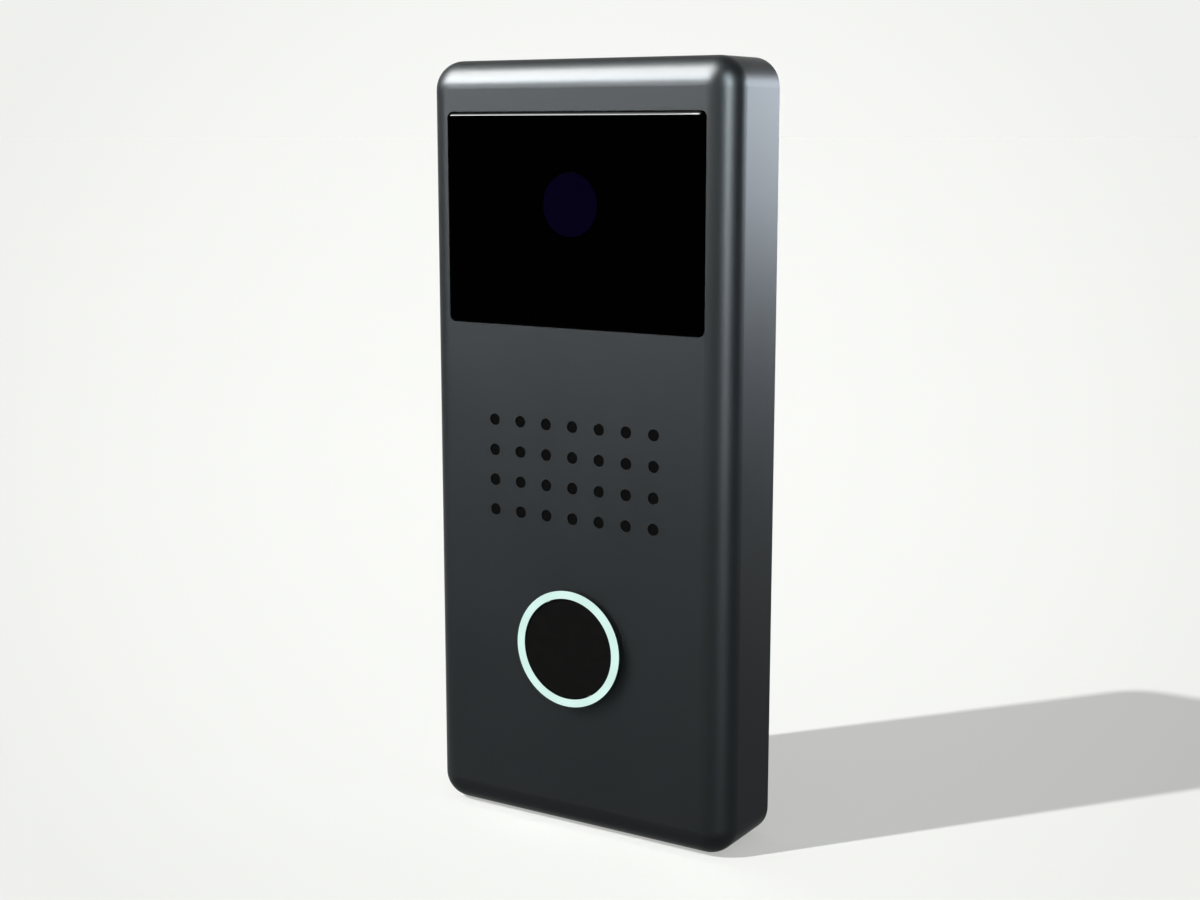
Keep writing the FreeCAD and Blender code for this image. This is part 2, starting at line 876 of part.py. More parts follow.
def button_carrier():
    """Cup behind the front wall: sleeve, flange and a floor with the bore for the cap's stem."""
    sleeve_inner, sleeve_outer = sleeve_radii()
    floor_front = at_depth(carrier_station)
    floor_back = floor_front + carrier_floor
    top, stem_bore = at_depth(-sleeve_front), stem_radius + stem_running_gap
    carrier = turned(0, button_z, [
        (stem_bore, floor_front), (sleeve_inner, floor_front), (sleeve_inner, top), (sleeve_outer, top),
        (sleeve_outer, floor_front), (carrier_flange_radius, floor_front),
        (carrier_flange_radius, floor_back), (stem_bore, floor_back),
    ])
    leg_places = circle_places(guide_legs, ring_radius, 0, button_z)
    leg_hole, screw_hole = guide_leg_radius + fit_gap, small_screw_radius + fit_gap
    holes = [bore(x, z, leg_hole, floor_front, floor_back) for x, z in leg_places]
    holes += [bore(x, z, screw_hole, floor_front, floor_back) for x, z in carrier_screw_places()]
    return without(carrier, holes)


def button_gasket():
    front = at_depth(front_wall)
    inner = button_hole_radius() + fit_gap
    return tube(0, button_z, inner + carrier_gasket_width, inner, front, at_depth(carrier_station))


def carrier_screw_set():
    seat = at_depth(carrier_station) + carrier_floor
    length = small_screw_grip + carrier_floor
    return group([pan_screw(x, z, small_screw_radius, seat, length) for x, z in carrier_screw_places()])


def cap_front():
    """The cap's face lies a little behind the crest of the ring."""
    return at_depth(-ring_crest + cap_face_set_back)


def clip_front():
    return at_depth(carrier_station) + carrier_floor + clip_gap


def plunger_tip():
    return at_depth(board_station) - switch_height - plunger_proud


def button_cap():
    """Round cap with a short skirt and the stem that works the switch."""
    radius = ring_radius - ring_tube_radius - cap_gap
    front = cap_front()
    under = front + cap_thickness
    disc = cylinder(0, button_z, radius, front, under)
    disc = disc.makeFillet(cap_edge_radius, front_rim(disc))
    inner, skirt_back = radius - cap_skirt_wall, under + cap_skirt_length
    skirt = tube(0, button_z, radius, inner, under - bury, skirt_back)
    stem = cylinder(0, button_z, stem_radius, under - bury, plunger_tip() - plunger_gap)
    start, core = clip_front(), stem_radius - clip_groove
    groove = tube(0, button_z, stem_radius + past, core, start, start + clip_thickness)
    return joined([disc, skirt, stem]).cut(groove)


def stem_clip():
    """Open retaining ring in the stem's groove, behind the carrier floor."""
    front = clip_front()
    back = front + clip_thickness
    ring = tube(0, button_z, clip_radius, stem_radius - clip_groove, front, back)
    half, low = clip_mouth / 2, button_z - clip_radius - past
    return ring.cut(block(-half, half, front - past, back + past, low, button_z))


def cap_spring():
    """Compression spring between the cap and the carrier floor."""
    under, floor = cap_front() + cap_thickness, at_depth(carrier_station)
    length = floor - under - spring_wire
    helix = Part.makeHelix(length / spring_turns, length, spring_radius)
    start = Vector(spring_radius, 0, 0)
    section = Part.Wire(Part.makeCircle(spring_wire / 2, start, ALONG_Y))
    coil = Part.Wire(helix).makePipeShell([section], True, True)
    coil.Placement = FreeCAD.Placement(
        Vector(0, under + spring_wire / 2, button_z), FreeCAD.Rotation(ALONG_Z, ALONG_Y)
    )
    return coil


def call_switch():
    """Body of the push switch on the front of the main board."""
    back = at_depth(board_station)
    front = back - switch_height
    body = rounded_plate(0, button_z, switch_side, switch_side, switch_corner, front, back)
    room = plunger_length - plunger_proud + button_travel + fit_gap
    return body.cut(cylinder(0, button_z, plunger_radius + thread_gap, front - past, front + room))


def switch_plunger():
    tip = plunger_tip()
    return cylinder(0, button_z, plunger_radius, tip, tip + plunger_length)


def ring_leds():
    back = at_depth(board_station)
    front, side = back - ring_led_height, ring_led_side
    places = circle_places(guide_legs, ring_radius, 0, button_z)
    return group([centred_block(x, z, side, side, front, back) for x, z in places])


# Main board


def main_board():
    front = at_depth(board_station)
    back = front + board_thickness
    middle, height = (board_top + board_bottom) / 2, board_top - board_bottom
    board = rounded_plate(0, middle, 2 * board_half_width, height, board_corner_radius, front, back)
    hole = board_screw_radius + clearance_hole_gap
    return without(board, [bore(x, z, hole, front, back) for x, z in board_boss_places()])


def main_board_screws():
    seat = at_depth(board_station) + board_thickness
    length = board_thickness + board_screw_grip
    return group([pan_screw(x, z, board_screw_radius, seat, length) for x, z in board_boss_places()])


def board_back():
    return at_depth(board_back_station)


def below_bay(share):
    """Height of a part on the board, at this share of the way from the wire bay to the board's end."""
    start = bay_bottom - bay_wall
    return start - share * (start - board_bottom)


def processor():
    front, side = board_back(), processor_side
    z = below_bay(processor_share)
    return centred_block(-part_column, z, side, side, front, front + processor_height)


def radio_shield():
    """Pressed screening can over the amplifier."""
    front = board_back()
    x, z, back = part_column, below_bay(processor_share), front + shield_depth
    width, height = shield_width - 2 * shield_sheet, shield_height - 2 * shield_sheet
    corner = shield_corner - shield_sheet
    can = rounded_plate(x, z, shield_width, shield_height, shield_corner, front, back)
    return can.cut(rounded_plate(x, z, width, height, corner, front - past, back - shield_sheet))


def door_relay():
    front = board_back()
    z = below_bay(relay_share)
    back = front + relay_depth
    return rounded_plate(-part_column, z, relay_width, relay_height, relay_corner, front, back)


def capacitors():
    front = board_back()
    z, side = below_bay(relay_share), capacitor_foot_side
    cans = []
    for x in (part_column - capacitor_pitch / 2, part_column + capacitor_pitch / 2):
        foot = centred_block(x, z, side, side, front, front + capacitor_foot_height)
        cans.append(joined([foot, cylinder(x, z, capacitor_radius, front, front + capacitor_height)]))
    return group(cans)


def inductors():
    front = board_back()
    z, side, back = below_bay(inductor_share), inductor_side, front + inductor_depth
    places = (-inductor_pitch / 2, inductor_pitch / 2)
    return group([rounded_plate(x, z, side, side, inductor_corner, front, back) for x in places])


def terminal_width():
    return terminal_ways * terminal_pitch + 2 * terminal_end_wall


def terminal_places():
    first = -(terminal_ways - 1) / 2 * terminal_pitch
    return [first + i * terminal_pitch for i in range(terminal_ways)]


def terminal_block():
    """Row of wire clamps: wires enter from below, screws face the wall."""
    front = board_back()
    back = front + terminal_depth
    z = terminal_z
    low = z - terminal_height / 2
    body = centred_block(0, z, terminal_width(), terminal_height, front, back)
    half, entry_y = terminal_entry / 2, front + terminal_entry_depth
    high = low + terminal_entry_length
    cutters = []
    for x in terminal_places():
        cutters.append(block(x - half, x + half, entry_y - half, entry_y + half, low - past, high))
        cutters.append(cylinder(x, z, terminal_screw_radius + fit_gap, entry_y, back + past))
    return without(body, cutters)


def terminal_screws():
    back, z = board_back() + terminal_depth - terminal_screw_recess, terminal_z
    width, length, floor = terminal_slot_width, 2 * terminal_screw_radius + past, back - terminal_slot_depth
    screws = []
    for x in terminal_places():
        screw = cylinder(x, z, terminal_screw_radius, back - terminal_screw_length, back)
        screws.append(screw.cut(centred_block(x, z, width, length, floor, back + past)))
    return group(screws)


# Flat cable and speaker leads


def upper_socket_z():
    return camera_board_bottom + socket_edge + socket_height / 2


def lower_socket_z():
    return board_top - socket_edge - socket_height / 2


def cable_sockets():
    places = [(upper_socket_z(), at_depth(camera_back_station)), (lower_socket_z(), board_back())]
    return group([
        centred_block(0, z, socket_width, socket_height, front, front + socket_depth) for z, front in places
    ])


def bent_path(points, radius):
    """Straight runs through the points, joined by tangent arcs of one radius."""
    edges = []
    start = points[0]
    for before, corner, after in zip(points, points[1:], points[2:]):
        back = (before - corner).normalize()
        ahead = (after - corner).normalize()
        half_turn = (math.pi - back.getAngle(ahead)) / 2
        reach = radius * math.tan(half_turn)
        entry, leave = corner + back * reach, corner + ahead * reach
        inward = (back + ahead).normalize()
        middle = corner + inward * (radius / math.cos(half_turn) - radius)
        edges.append(Part.makeLine(start, entry))
        edges.append(Part.Arc(entry, middle, leave).toShape())
        start = leave
    edges.append(Part.makeLine(start, points[-1]))
    return Part.Wire(edges)


def flat_cable():
    """Flat cable from the lower edge of the upper socket to the upper edge of the lower one."""
    high_y = at_depth(camera_back_station) + socket_depth / 2
    low_y = board_back() + socket_depth / 2
    high_z, low_z = upper_socket_z() - socket_height / 2, lower_socket_z() + socket_height / 2
    run = flat_cable_run
    half_width, half = flat_cable_width / 2, flat_cable_thickness / 2
    points = [
        Vector(-half_width, high_y, high_z), Vector(-half_width, high_y, high_z - run),
        Vector(-half_width, low_y, low_z + run), Vector(-half_width, low_y, low_z),
    ]
    corners = [(0, -half), (2 * half_width, -half), (2 * half_width, half), (0, half)]
    outline = [Vector(-half_width + x, high_y + y, high_z) for x, y in corners]
    section = Part.makePolygon(outline + outline[:1])
    return bent_path(points, flat_cable_bend).makePipeShell([section], True, False)


def lead_socket_z():
    return grille_z - speaker_radius - lead_socket_drop


def speaker_lead_socket():
    """Two-way socket on the front of the main board, under the speaker."""
    back, z = at_depth(board_station), lead_socket_z()
    front = back - lead_socket_depth
    return centred_block(speaker_offset, z, lead_socket_width, lead_socket_height, front, back)


def speaker_leads():
    """Two leads from the side of the basket down to their socket."""
    side_wall_radius = speaker_radius - basket_rim + basket_sheet
    start_z = grille_z - side_wall_radius
    y, end_z = at_depth(lead_depth), lead_socket_z()
    socket_front = at_depth(board_station) - lead_socket_depth
    leads = []
    for x in (speaker_offset - lead_pitch / 2, speaker_offset + lead_pitch / 2):
        points = [Vector(x, y, start_z), Vector(x, y, end_z), Vector(x, socket_front, end_z)]
        section = Part.Wire(Part.makeCircle(lead_radius, points[0], ALONG_Z))
        leads.append(bent_path(points, lead_bend).makePipeShell([section], True, False))
    return group(leads)


# Rear cover and bracket


def bay_plate(grow, front, back):
    """Plate with the outline of the wire bay, grown by some width on every side."""
    width = 2 * (bay_half_width + grow)
    height = bay_height + 2 * grow
    corner = max(bay_corner_radius + grow, bay_corner_radius)
    return rounded_plate(0, (bay_top + bay_bottom) / 2, width, height, corner, front, back)


def bay_ring_front():
    return board_back() + bay_gasket


def rear_cover():
    """Cover with the wire bay: an open well whose wall reaches forward to the main board."""
    front = at_depth(cover_station)
    back = front + cover_thickness
    plate = case_plate(side_wall + fit_gap, front, back)
    well = bay_plate(bay_wall, bay_ring_front(), front + bury)
    hole = cover_screw_radius + clearance_hole_gap
    cutters = [bore(x, z, hole, front, back) for x, z in cover_boss_places()]
    cutters.append(bay_plate(0, bay_ring_front() - past, back + past))
    return without(joined([plate, well]), cutters)


def bay_gasket_ring():
    front, back = board_back(), bay_ring_front()
    return bay_plate(bay_gasket_width, front, back).cut(bay_plate(0, front - past, back + past))


def cover_seal_ring():
    """Flat seal on the ledge of the case, with a lobe round each screw."""
    front, back = seal_station(), at_depth(cover_station)
    outside = case_plate(side_wall + fit_gap, front, back)
    ring = outside.cut(case_plate(side_wall + ledge_width, front - past, back + past))
    places, hole = cover_boss_places(), cover_screw_radius + clearance_hole_gap
    lobes = [cylinder(x, z, cover_boss_radius, front, back).common(outside) for x, z in places]
    return without(joined([ring] + lobes), [bore(x, z, hole, front, back) for x, z in places])


def cover_screws():
    seat = at_depth(cover_station) + cover_thickness
    length = cover_thickness + cover_seal + cover_screw_grip
    return group([pan_screw(x, z, cover_screw_radius, seat, length) for x, z in cover_boss_places()])


def flange_low():
    return case_bottom + side_wall + flange_gap


def wall_bracket():
    """Steel plate with two hooks at the top and a threaded flange at the bottom."""
    front = -bracket_thickness
    width, height = 2 * bracket_half_width, 2 * bracket_half_height
    leg_top = rear_half_height - catch_drop - catch_gap
    finger_back = front - catch_thickness - hook_gap
    finger_front = finger_back - hook_leg
    pieces = [rounded_plate(0, 0, width, height, bracket_corner_radius, front, 0)]
    for left, right in hook_spans():
        pieces.append(block(left, right, front, 0, bracket_half_height - bury, leg_top))
        pieces.append(block(left, right, finger_front, front + bury, leg_top - hook_leg, leg_top))
        pieces.append(block(left, right, finger_front, finger_back, leg_top - bury, leg_top + hook_finger))
    half, low = flange_half_width, flange_low()
    flange_front = 2 * lock_screw_y() - front
    pieces.append(block(-half, half, front, 0, low, bury - bracket_half_height))
    pieces.append(block(-half, half, flange_front, front + bury, low, low + flange_thickness))
    screw_places = mirrored(wall_screw_half_x, wall_screw_half_z)
    cutters = [bore(x, z, wall_hole_radius, front, 0) for x, z in screw_places]
    for z in (-box_slot_half_pitch, box_slot_half_pitch):
        cutters.append(slot_cutter(0, z, box_slot_length, box_slot_radius, front, 0))
    cutters.append(bay_plate(-bracket_window_margin, front - past, past))
    thread_start = Vector(0, lock_screw_y(), low - past)
    thread_radius, thread_length = lock_screw_radius + thread_gap, flange_thickness + 2 * past
    cutters.append(Part.makeCylinder(thread_radius, thread_length, thread_start, ALONG_Z))
    return without(joined(pieces), cutters)


def locking_screw():
    """Countersunk screw up through the bottom of the case into the bracket's flange."""
    y, foot = lock_screw_y(), case_bottom + fit_gap
    length = flange_low() + flange_thickness + lock_screw_tip - foot
    start = Vector(0, y, foot)
    head = Part.makeCone(lock_screw_head_radius, lock_screw_radius, lock_screw_head_depth, start, ALONG_Z)
    shank = Part.makeCylinder(lock_screw_radius, length, start, ALONG_Z)
    sides = 6
    angles = [2 * math.pi * i / sides for i in range(sides + 1)]
    corners = [(lock_screw_socket * math.cos(a), lock_screw_socket * math.sin(a)) for a in angles]
    socket = Part.makePolygon([Vector(cx, y + cy, foot - past) for cx, cy in corners])
    return joined([head, shank]).cut(Part.Face(socket).extrude(ALONG_Z * lock_screw_socket_depth))


PARTS = {
    "front_housing": front_housing,
    "camera_window": camera_window,
    "window_tape": window_tape_frame,
    "lens_glass": lens_glass,
    "lens_barrel": lens_barrel,
    "lens_front_element": lens_front_element,
    "lens_holder": lens_holder,
    "infrared_filter": infrared_filter,
    "image_sensor": image_sensor,
    "camera_board": camera_board,
    "camera_board_parts": camera_board_parts,
    "camera_screws": camera_screws,
    "lamp_board": lamp_board,
    "infrared_lamps": infrared_lamps,
    "lamp_board_spacers": lamp_board_spacers,
    "speaker_mesh": speaker_mesh,
    "speaker_gasket": speaker_gasket_ring,
    "speaker_basket": speaker_basket,
    "speaker_cone": speaker_cone,
    "speaker_surround": speaker_surround,
    "voice_coil": voice_coil,
    "speaker_magnet": speaker_magnet,
    "magnet_top_plate": magnet_top_plate,
    "magnet_yoke": magnet_yoke,
    "speaker_washers": speaker_washers,
    "speaker_screws": speaker_screws,
    "microphone": microphone_capsule,
    "microphone_boot": microphone_boot,
    "light_ring": light_ring,
    "button_carrier": button_carrier,
    "button_gasket": button_gasket,
    "carrier_screws": carrier_screw_set,
    "call_button": button_cap,
    "stem_clip": stem_clip,
    "button_spring": cap_spring,
    "call_switch": call_switch,
    "switch_plunger": switch_plunger,
    "ring_leds": ring_leds,
    "main_board": main_board,
    "main_board_screws": main_board_screws,
    "processor": processor,
    "shield_can": radio_shield,
    "door_relay": door_relay,
    "capacitors": capacitors,
    "inductors": inductors,
    "terminal_block": terminal_block,
    "terminal_screws": terminal_screws,
    "cable_sockets": cable_sockets,
    "flat_cable": flat_cable,
    "speaker_lead_socket": speaker_lead_socket,
    "speaker_leads": speaker_leads,
    "rear_cover": rear_cover,
    "cover_seal": cover_seal_ring,
    "bay_gasket": bay_gasket_ring,
    "cover_screws": cover_screws,
    "wall_bracket": wall_bracket,
    "locking_screw": locking_screw,
}


def main():
    os.makedirs("parts", exist_ok=True)
    for name, make in PARTS.items():
        shape = make()
        shape.exportStep(f"parts/{name}.step")
        print(name, len(shape.Solids), "solids,", round(shape.Volume, 1), "mm3, valid", shape.isValid())


main()
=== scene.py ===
import math

import bmesh
import bpy
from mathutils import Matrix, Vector


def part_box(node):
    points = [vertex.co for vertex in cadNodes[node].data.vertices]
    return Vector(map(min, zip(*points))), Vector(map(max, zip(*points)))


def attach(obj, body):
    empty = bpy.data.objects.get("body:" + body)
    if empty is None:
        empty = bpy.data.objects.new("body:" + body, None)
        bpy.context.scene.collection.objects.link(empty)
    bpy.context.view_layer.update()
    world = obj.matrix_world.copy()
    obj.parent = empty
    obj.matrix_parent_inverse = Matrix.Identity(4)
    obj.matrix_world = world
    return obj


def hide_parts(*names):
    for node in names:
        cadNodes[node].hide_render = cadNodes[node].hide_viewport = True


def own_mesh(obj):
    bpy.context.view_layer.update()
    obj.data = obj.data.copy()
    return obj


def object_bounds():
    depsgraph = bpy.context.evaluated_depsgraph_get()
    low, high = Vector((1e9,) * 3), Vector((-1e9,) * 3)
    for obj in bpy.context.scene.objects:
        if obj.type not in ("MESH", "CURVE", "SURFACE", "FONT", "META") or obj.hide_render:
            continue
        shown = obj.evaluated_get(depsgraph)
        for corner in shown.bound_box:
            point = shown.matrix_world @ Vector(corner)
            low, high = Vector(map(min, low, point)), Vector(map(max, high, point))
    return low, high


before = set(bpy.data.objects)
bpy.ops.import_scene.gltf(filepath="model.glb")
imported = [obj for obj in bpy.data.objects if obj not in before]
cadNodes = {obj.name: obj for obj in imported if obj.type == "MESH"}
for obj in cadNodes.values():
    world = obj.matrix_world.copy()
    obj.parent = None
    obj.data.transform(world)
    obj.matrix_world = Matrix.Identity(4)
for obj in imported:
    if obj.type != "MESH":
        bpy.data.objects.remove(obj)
cadLow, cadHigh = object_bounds()
millimetre = 0.001
wholeTurn = 2 * math.pi
quarterTurn = math.radians(90)
print("stage: frame loaded,", len(cadNodes), "nodes")


# camera of the photograph, solved from the outline, the window and the grille holes
cameraSetup = {
    "lens": 53.79, "sensor": 36, "nearest": 0.01,
    "place": (0.21329, -0.35394, 0.07193), "pitch": -10.067, "turn": 31.804,
}


def makeCamera():
    camera = bpy.data.objects.new("photoCamera", bpy.data.cameras.new("photoCamera"))
    bpy.context.scene.collection.objects.link(camera)
    camera.data.lens = cameraSetup["lens"]
    camera.data.sensor_width = cameraSetup["sensor"]
    camera.data.clip_start = cameraSetup["nearest"]
    camera.location = cameraSetup["place"]
    tilt = quarterTurn + math.radians(cameraSetup["pitch"])
    camera.rotation_euler = (tilt, 0, math.radians(cameraSetup["turn"]))
    bpy.context.scene.camera = camera


makeCamera()
print("stage: camera placed")


# small helpers for node materials
noiseMiddle = (0.3, 0.7)  # where a noise has most of its values


def addNode(owner, kind, values=None, **settings):
    node = owner.node_tree.nodes.new(kind)
    for setting, value in settings.items():
        setattr(node, setting, value)
    for socket, value in (values or {}).items():
        node.inputs[socket].default_value = value
    return node


def wire(owner, start, end):
    owner.node_tree.links.new(start, end)


def newFinish(name, colour, roughness, specular=0.25, metallic=0.0):
    finish = bpy.data.materials.new(name)
    finish.use_nodes = True
    shader = finish.node_tree.nodes["Principled BSDF"]
    shader.inputs["Base Color"].default_value = (*colour, 1)
    shader.inputs["Roughness"].default_value = roughness
    shader.inputs["Specular IOR Level"].default_value = specular
    shader.inputs["Metallic"].default_value = metallic
    return finish, shader


def grainPlace(finish, stretch=(1, 1, 1)):
    # every pattern is laid in the object's own metres, so its scale is real
    place = addNode(finish, "ShaderNodeTexCoord")
    mapping = addNode(finish, "ShaderNodeMapping", {"Scale": stretch})
    wire(finish, place.outputs["Object"], mapping.inputs["Vector"])
    return mapping.outputs["Vector"]


def noiseAt(finish, place, perMetre, detail=3, sharp=0.55):
    values = {"Scale": perMetre, "Detail": detail, "Roughness": sharp}
    noise = addNode(finish, "ShaderNodeTexNoise", values)
    wire(finish, place, noise.inputs["Vector"])
    return noise.outputs["Fac"]


def spread(finish, factor, low, high, start=noiseMiddle):
    values = {"From Min": start[0], "From Max": start[1], "To Min": low, "To Max": high}
    scale = addNode(finish, "ShaderNodeMapRange", values)
    wire(finish, factor, scale.inputs["Value"])
    return scale.outputs["Result"]


def tintBetween(finish, factor, first, second):
    ramp = addNode(finish, "ShaderNodeValToRGB")
    for element, position, colour in zip(ramp.color_ramp.elements, noiseMiddle, (first, second)):
        element.position = position
        element.color = (*colour, 1)
    wire(finish, factor, ramp.inputs["Fac"])
    return ramp.outputs["Color"]


def shades(colour, shift):
    # the colour a little darker and a little lighter
    return tuple(c * (1 - shift) for c in colour), tuple(min(1, c * (1 + shift)) for c in colour)


def relief(finish, shader, height, depth):
    bump = addNode(finish, "ShaderNodeBump", {"Strength": 1.0, "Distance": depth})
    wire(finish, height, bump.inputs["Height"])
    wire(finish, bump.outputs["Normal"], shader.inputs["Normal"])


def roundEdges(finish, radius):
    # softens the arris of sheet and moulded pieces, as deburring leaves it
    shader = finish.node_tree.nodes["Principled BSDF"]
    soft = addNode(finish, "ShaderNodeBevel", {"Radius": radius}, samples=4)
    bump = shader.inputs["Normal"].links[0].from_node
    wire(finish, soft.outputs["Normal"], bump.inputs["Normal"])


# grain that all plain finishes share: fine relief, and broad patches that shift the colour
grainRule = {"fineDetail": 4, "broadDetail": 2, "broadRatio": 14, "shine": 0.1}


def plainGrain(name, colour, roughness, specular, grain, depth, shift=0.12, metallic=0.0, stretch=(1, 1, 1), edge=0):
    rule = grainRule
    finish, shader = newFinish(name, colour, roughness, specular, metallic)
    place = grainPlace(finish, stretch)
    fine = noiseAt(finish, place, grain, rule["fineDetail"])
    broad = noiseAt(finish, place, grain / rule["broadRatio"], rule["broadDetail"])
    wire(finish, tintBetween(finish, broad, *shades(colour, shift)), shader.inputs["Base Color"])
    smoother, rougher = roughness * (1 - rule["shine"]), roughness * (1 + rule["shine"])
    wire(finish, spread(finish, fine, smoother, rougher), shader.inputs["Roughness"])
    relief(finish, shader, fine, depth)
    if edge:
        roundEdges(finish, edge)
    return finish


# anodised case: bead-blasted before the bath, so a very fine even grain and faint cloudiness; its own colour
# is darker than the photograph's, since most of what shows on it is gloss from the sheen lamps further down
caseLook = {
    "colour": (0.0070, 0.0082, 0.0093), "roughness": 0.35, "specular": 0.0225,
    "blast": 9000, "blastDetail": 5, "blastSharp": 0.7, "depth": 4e-7,
    "clouds": 38, "cloudShift": 0.05, "cloudShine": 0.008,
}


def mixCaseMetal():
    look = caseLook
    finish, shader = newFinish("anodisedCase", look["colour"], look["roughness"], look["specular"])
    place = grainPlace(finish)
    blast = noiseAt(finish, place, look["blast"], look["blastDetail"], look["blastSharp"])
    cloud = noiseAt(finish, place, look["clouds"])
    tint = tintBetween(finish, cloud, *shades(look["colour"], look["cloudShift"]))
    wire(finish, tint, shader.inputs["Base Color"])
    smoother, rougher = look["roughness"] - look["cloudShine"], look["roughness"] + look["cloudShine"]
    wire(finish, spread(finish, cloud, smoother, rougher), shader.inputs["Roughness"])
    relief(finish, shader, blast, look["depth"])
    return finish


# tinted window: black printed behind, polished edge
windowLook = {
    "ink": (0.0001, 0.0001, 0.0001), "faceGloss": 0.002, "edgeGloss": 0.014,
    "roughness": 0.03, "hazed": 1.5, "haze": 60, "depth": 1e-7,
}


def mixWindow(name, gloss):
    look = windowLook
    finish, shader = newFinish(name, look["ink"], look["roughness"], gloss)
    haze = noiseAt(finish, grainPlace(finish), look["haze"])
    dullest = look["roughness"] * look["hazed"]
    wire(finish, spread(finish, haze, look["roughness"], dullest), shader.inputs["Roughness"])
    relief(finish, shader, haze, look["depth"])
    return finish


# luminous ring: frosted light guide, a little brighter over each of its eight lamps
ringLook = {
    "body": (0.004, 0.005, 0.005), "roughness": 0.5, "specular": 0.0003,
    "glow": (0.665, 0.904, 0.838), "strength": 1.0, "lamps": 8, "ripple": 0.025,
    "centre": 0.04375, "frost": 2500, "depth": 1e-6,
}


def mixLightGuide():
    look = ringLook
    finish, shader = newFinish("luminousRing", look["body"], look["roughness"], look["specular"])
    place = addNode(finish, "ShaderNodeTexCoord")
    shift = addNode(finish, "ShaderNodeMapping", {"Location": (0, 0, look["centre"])})
    wire(finish, place.outputs["Object"], shift.inputs["Vector"])
    split = addNode(finish, "ShaderNodeSeparateXYZ")
    wire(finish, shift.outputs["Vector"], split.inputs["Vector"])
    turn = addNode(finish, "ShaderNodeMath", operation="ARCTAN2")
    wire(finish, split.outputs["X"], turn.inputs[0])
    wire(finish, split.outputs["Z"], turn.inputs[1])
    waves = addNode(finish, "ShaderNodeMath", {1: look["lamps"]}, operation="MULTIPLY")
    wire(finish, turn.outputs["Value"], waves.inputs[0])
    ripple = addNode(finish, "ShaderNodeMath", operation="COSINE")
    wire(finish, waves.outputs["Value"], ripple.inputs[0])
    inRange = spread(finish, ripple.outputs["Value"], *noiseMiddle, (-1, 1))
    glow = tintBetween(finish, inRange, *shades(look["glow"], look["ripple"]))
    wire(finish, glow, shader.inputs["Emission Color"])
    shader.inputs["Emission Strength"].default_value = look["strength"]
    relief(finish, shader, noiseAt(finish, grainPlace(finish), look["frost"]), look["depth"])
    return finish


# acoustic cloth behind the grille: fine plain weave, about 2100 threads to the metre at this setting
clothLook = {
    "thread": (0.0052, 0.0052, 0.0052), "gap": (0.0028, 0.0028, 0.0028), "roughness": 0.9,
    "specular": 0.004, "weave": 668.47, "uneven": 0.15, "depth": 2e-5,
}


def mixGrilleCloth():
    look = clothLook
    finish, shader = newFinish("acousticCloth", look["thread"], look["roughness"], look["specular"])
    place = grainPlace(finish)
    over = addNode(finish, "ShaderNodeMath", operation="MAXIMUM")
    values = {"Scale": look["weave"], "Distortion": look["uneven"]}
    for direction, socket in zip(("X", "Z"), over.inputs):
        threads = addNode(finish, "ShaderNodeTexWave", values, bands_direction=direction)
        wire(finish, place, threads.inputs["Vector"])
        wire(finish, threads.outputs["Fac"], socket)
    tint = tintBetween(finish, over.outputs["Value"], look["gap"], look["thread"])
    wire(finish, tint, shader.inputs["Base Color"])
    relief(finish, shader, over.outputs["Value"], look["depth"])
    return finish


# galvanised steel of the bracket: soft spangle and rolling marks
steelLook = {
    "colour": (0.36, 0.375, 0.39), "roughness": 0.36, "specular": 0.5, "spangle": 420,
    "smoothPatch": 0.34, "roughPatch": 0.42, "dull": 0.9, "fresh": 1.08, "clouds": 90, "cloudDetail": 4,
    "patchShare": 0.5, "rolled": 320, "rolling": (14, 1, 0.35), "depth": 3e-6, "edge": 0.00025,
}


def mixBracketSteel():
    look = steelLook
    finish, shader = newFinish("galvanisedSteel", look["colour"], look["roughness"], look["specular"], 1.0)
    place = grainPlace(finish)
    spangle = addNode(finish, "ShaderNodeTexVoronoi", {"Scale": look["spangle"], "Randomness": 1.0})
    wire(finish, place, spangle.inputs["Vector"])
    patch = addNode(finish, "ShaderNodeSeparateColor")
    wire(finish, spangle.outputs["Color"], patch.inputs["Color"])
    both = addNode(finish, "ShaderNodeMath", {1: look["patchShare"]}, operation="MULTIPLY_ADD")
    wire(finish, patch.outputs["Red"], both.inputs[0])
    wire(finish, noiseAt(finish, place, look["clouds"], look["cloudDetail"]), both.inputs[2])
    dull, fresh = (tuple(c * look[way] for c in look["colour"]) for way in ("dull", "fresh"))
    wire(finish, tintBetween(finish, both.outputs["Value"], dull, fresh), shader.inputs["Base Color"])
    shine = spread(finish, patch.outputs["Red"], look["smoothPatch"], look["roughPatch"], (0, 1))
    wire(finish, shine, shader.inputs["Roughness"])
    relief(finish, shader, noiseAt(finish, grainPlace(finish, look["rolling"]), look["rolled"]), look["depth"])
    roundEdges(finish, look["edge"])
    return finish


# circuit boards: green resist over copper tracks, lighter where copper lies under it
boardLook = {
    "resist": (0.008, 0.075, 0.03), "track": (0.02, 0.13, 0.055), "roughness": 0.35, "specular": 0.3,
    "tracks": {"Scale": 900, "Mortar Size": 0.09, "Mortar Smooth": 0.1, "Brick Width": 3.5, "Row Height": 0.9},
    "shades": {"Color1": (0, 0, 0, 1), "Color2": (0.25, 0.25, 0.25, 1), "Mortar": (1, 1, 1, 1)},
    "rows": {"offset": 0.37, "squash": 1.6, "squash_frequency": 3},
    "areas": 120, "areaDetail": 1, "areaRange": (0.42, 0.5), "depth": 2e-5,
}


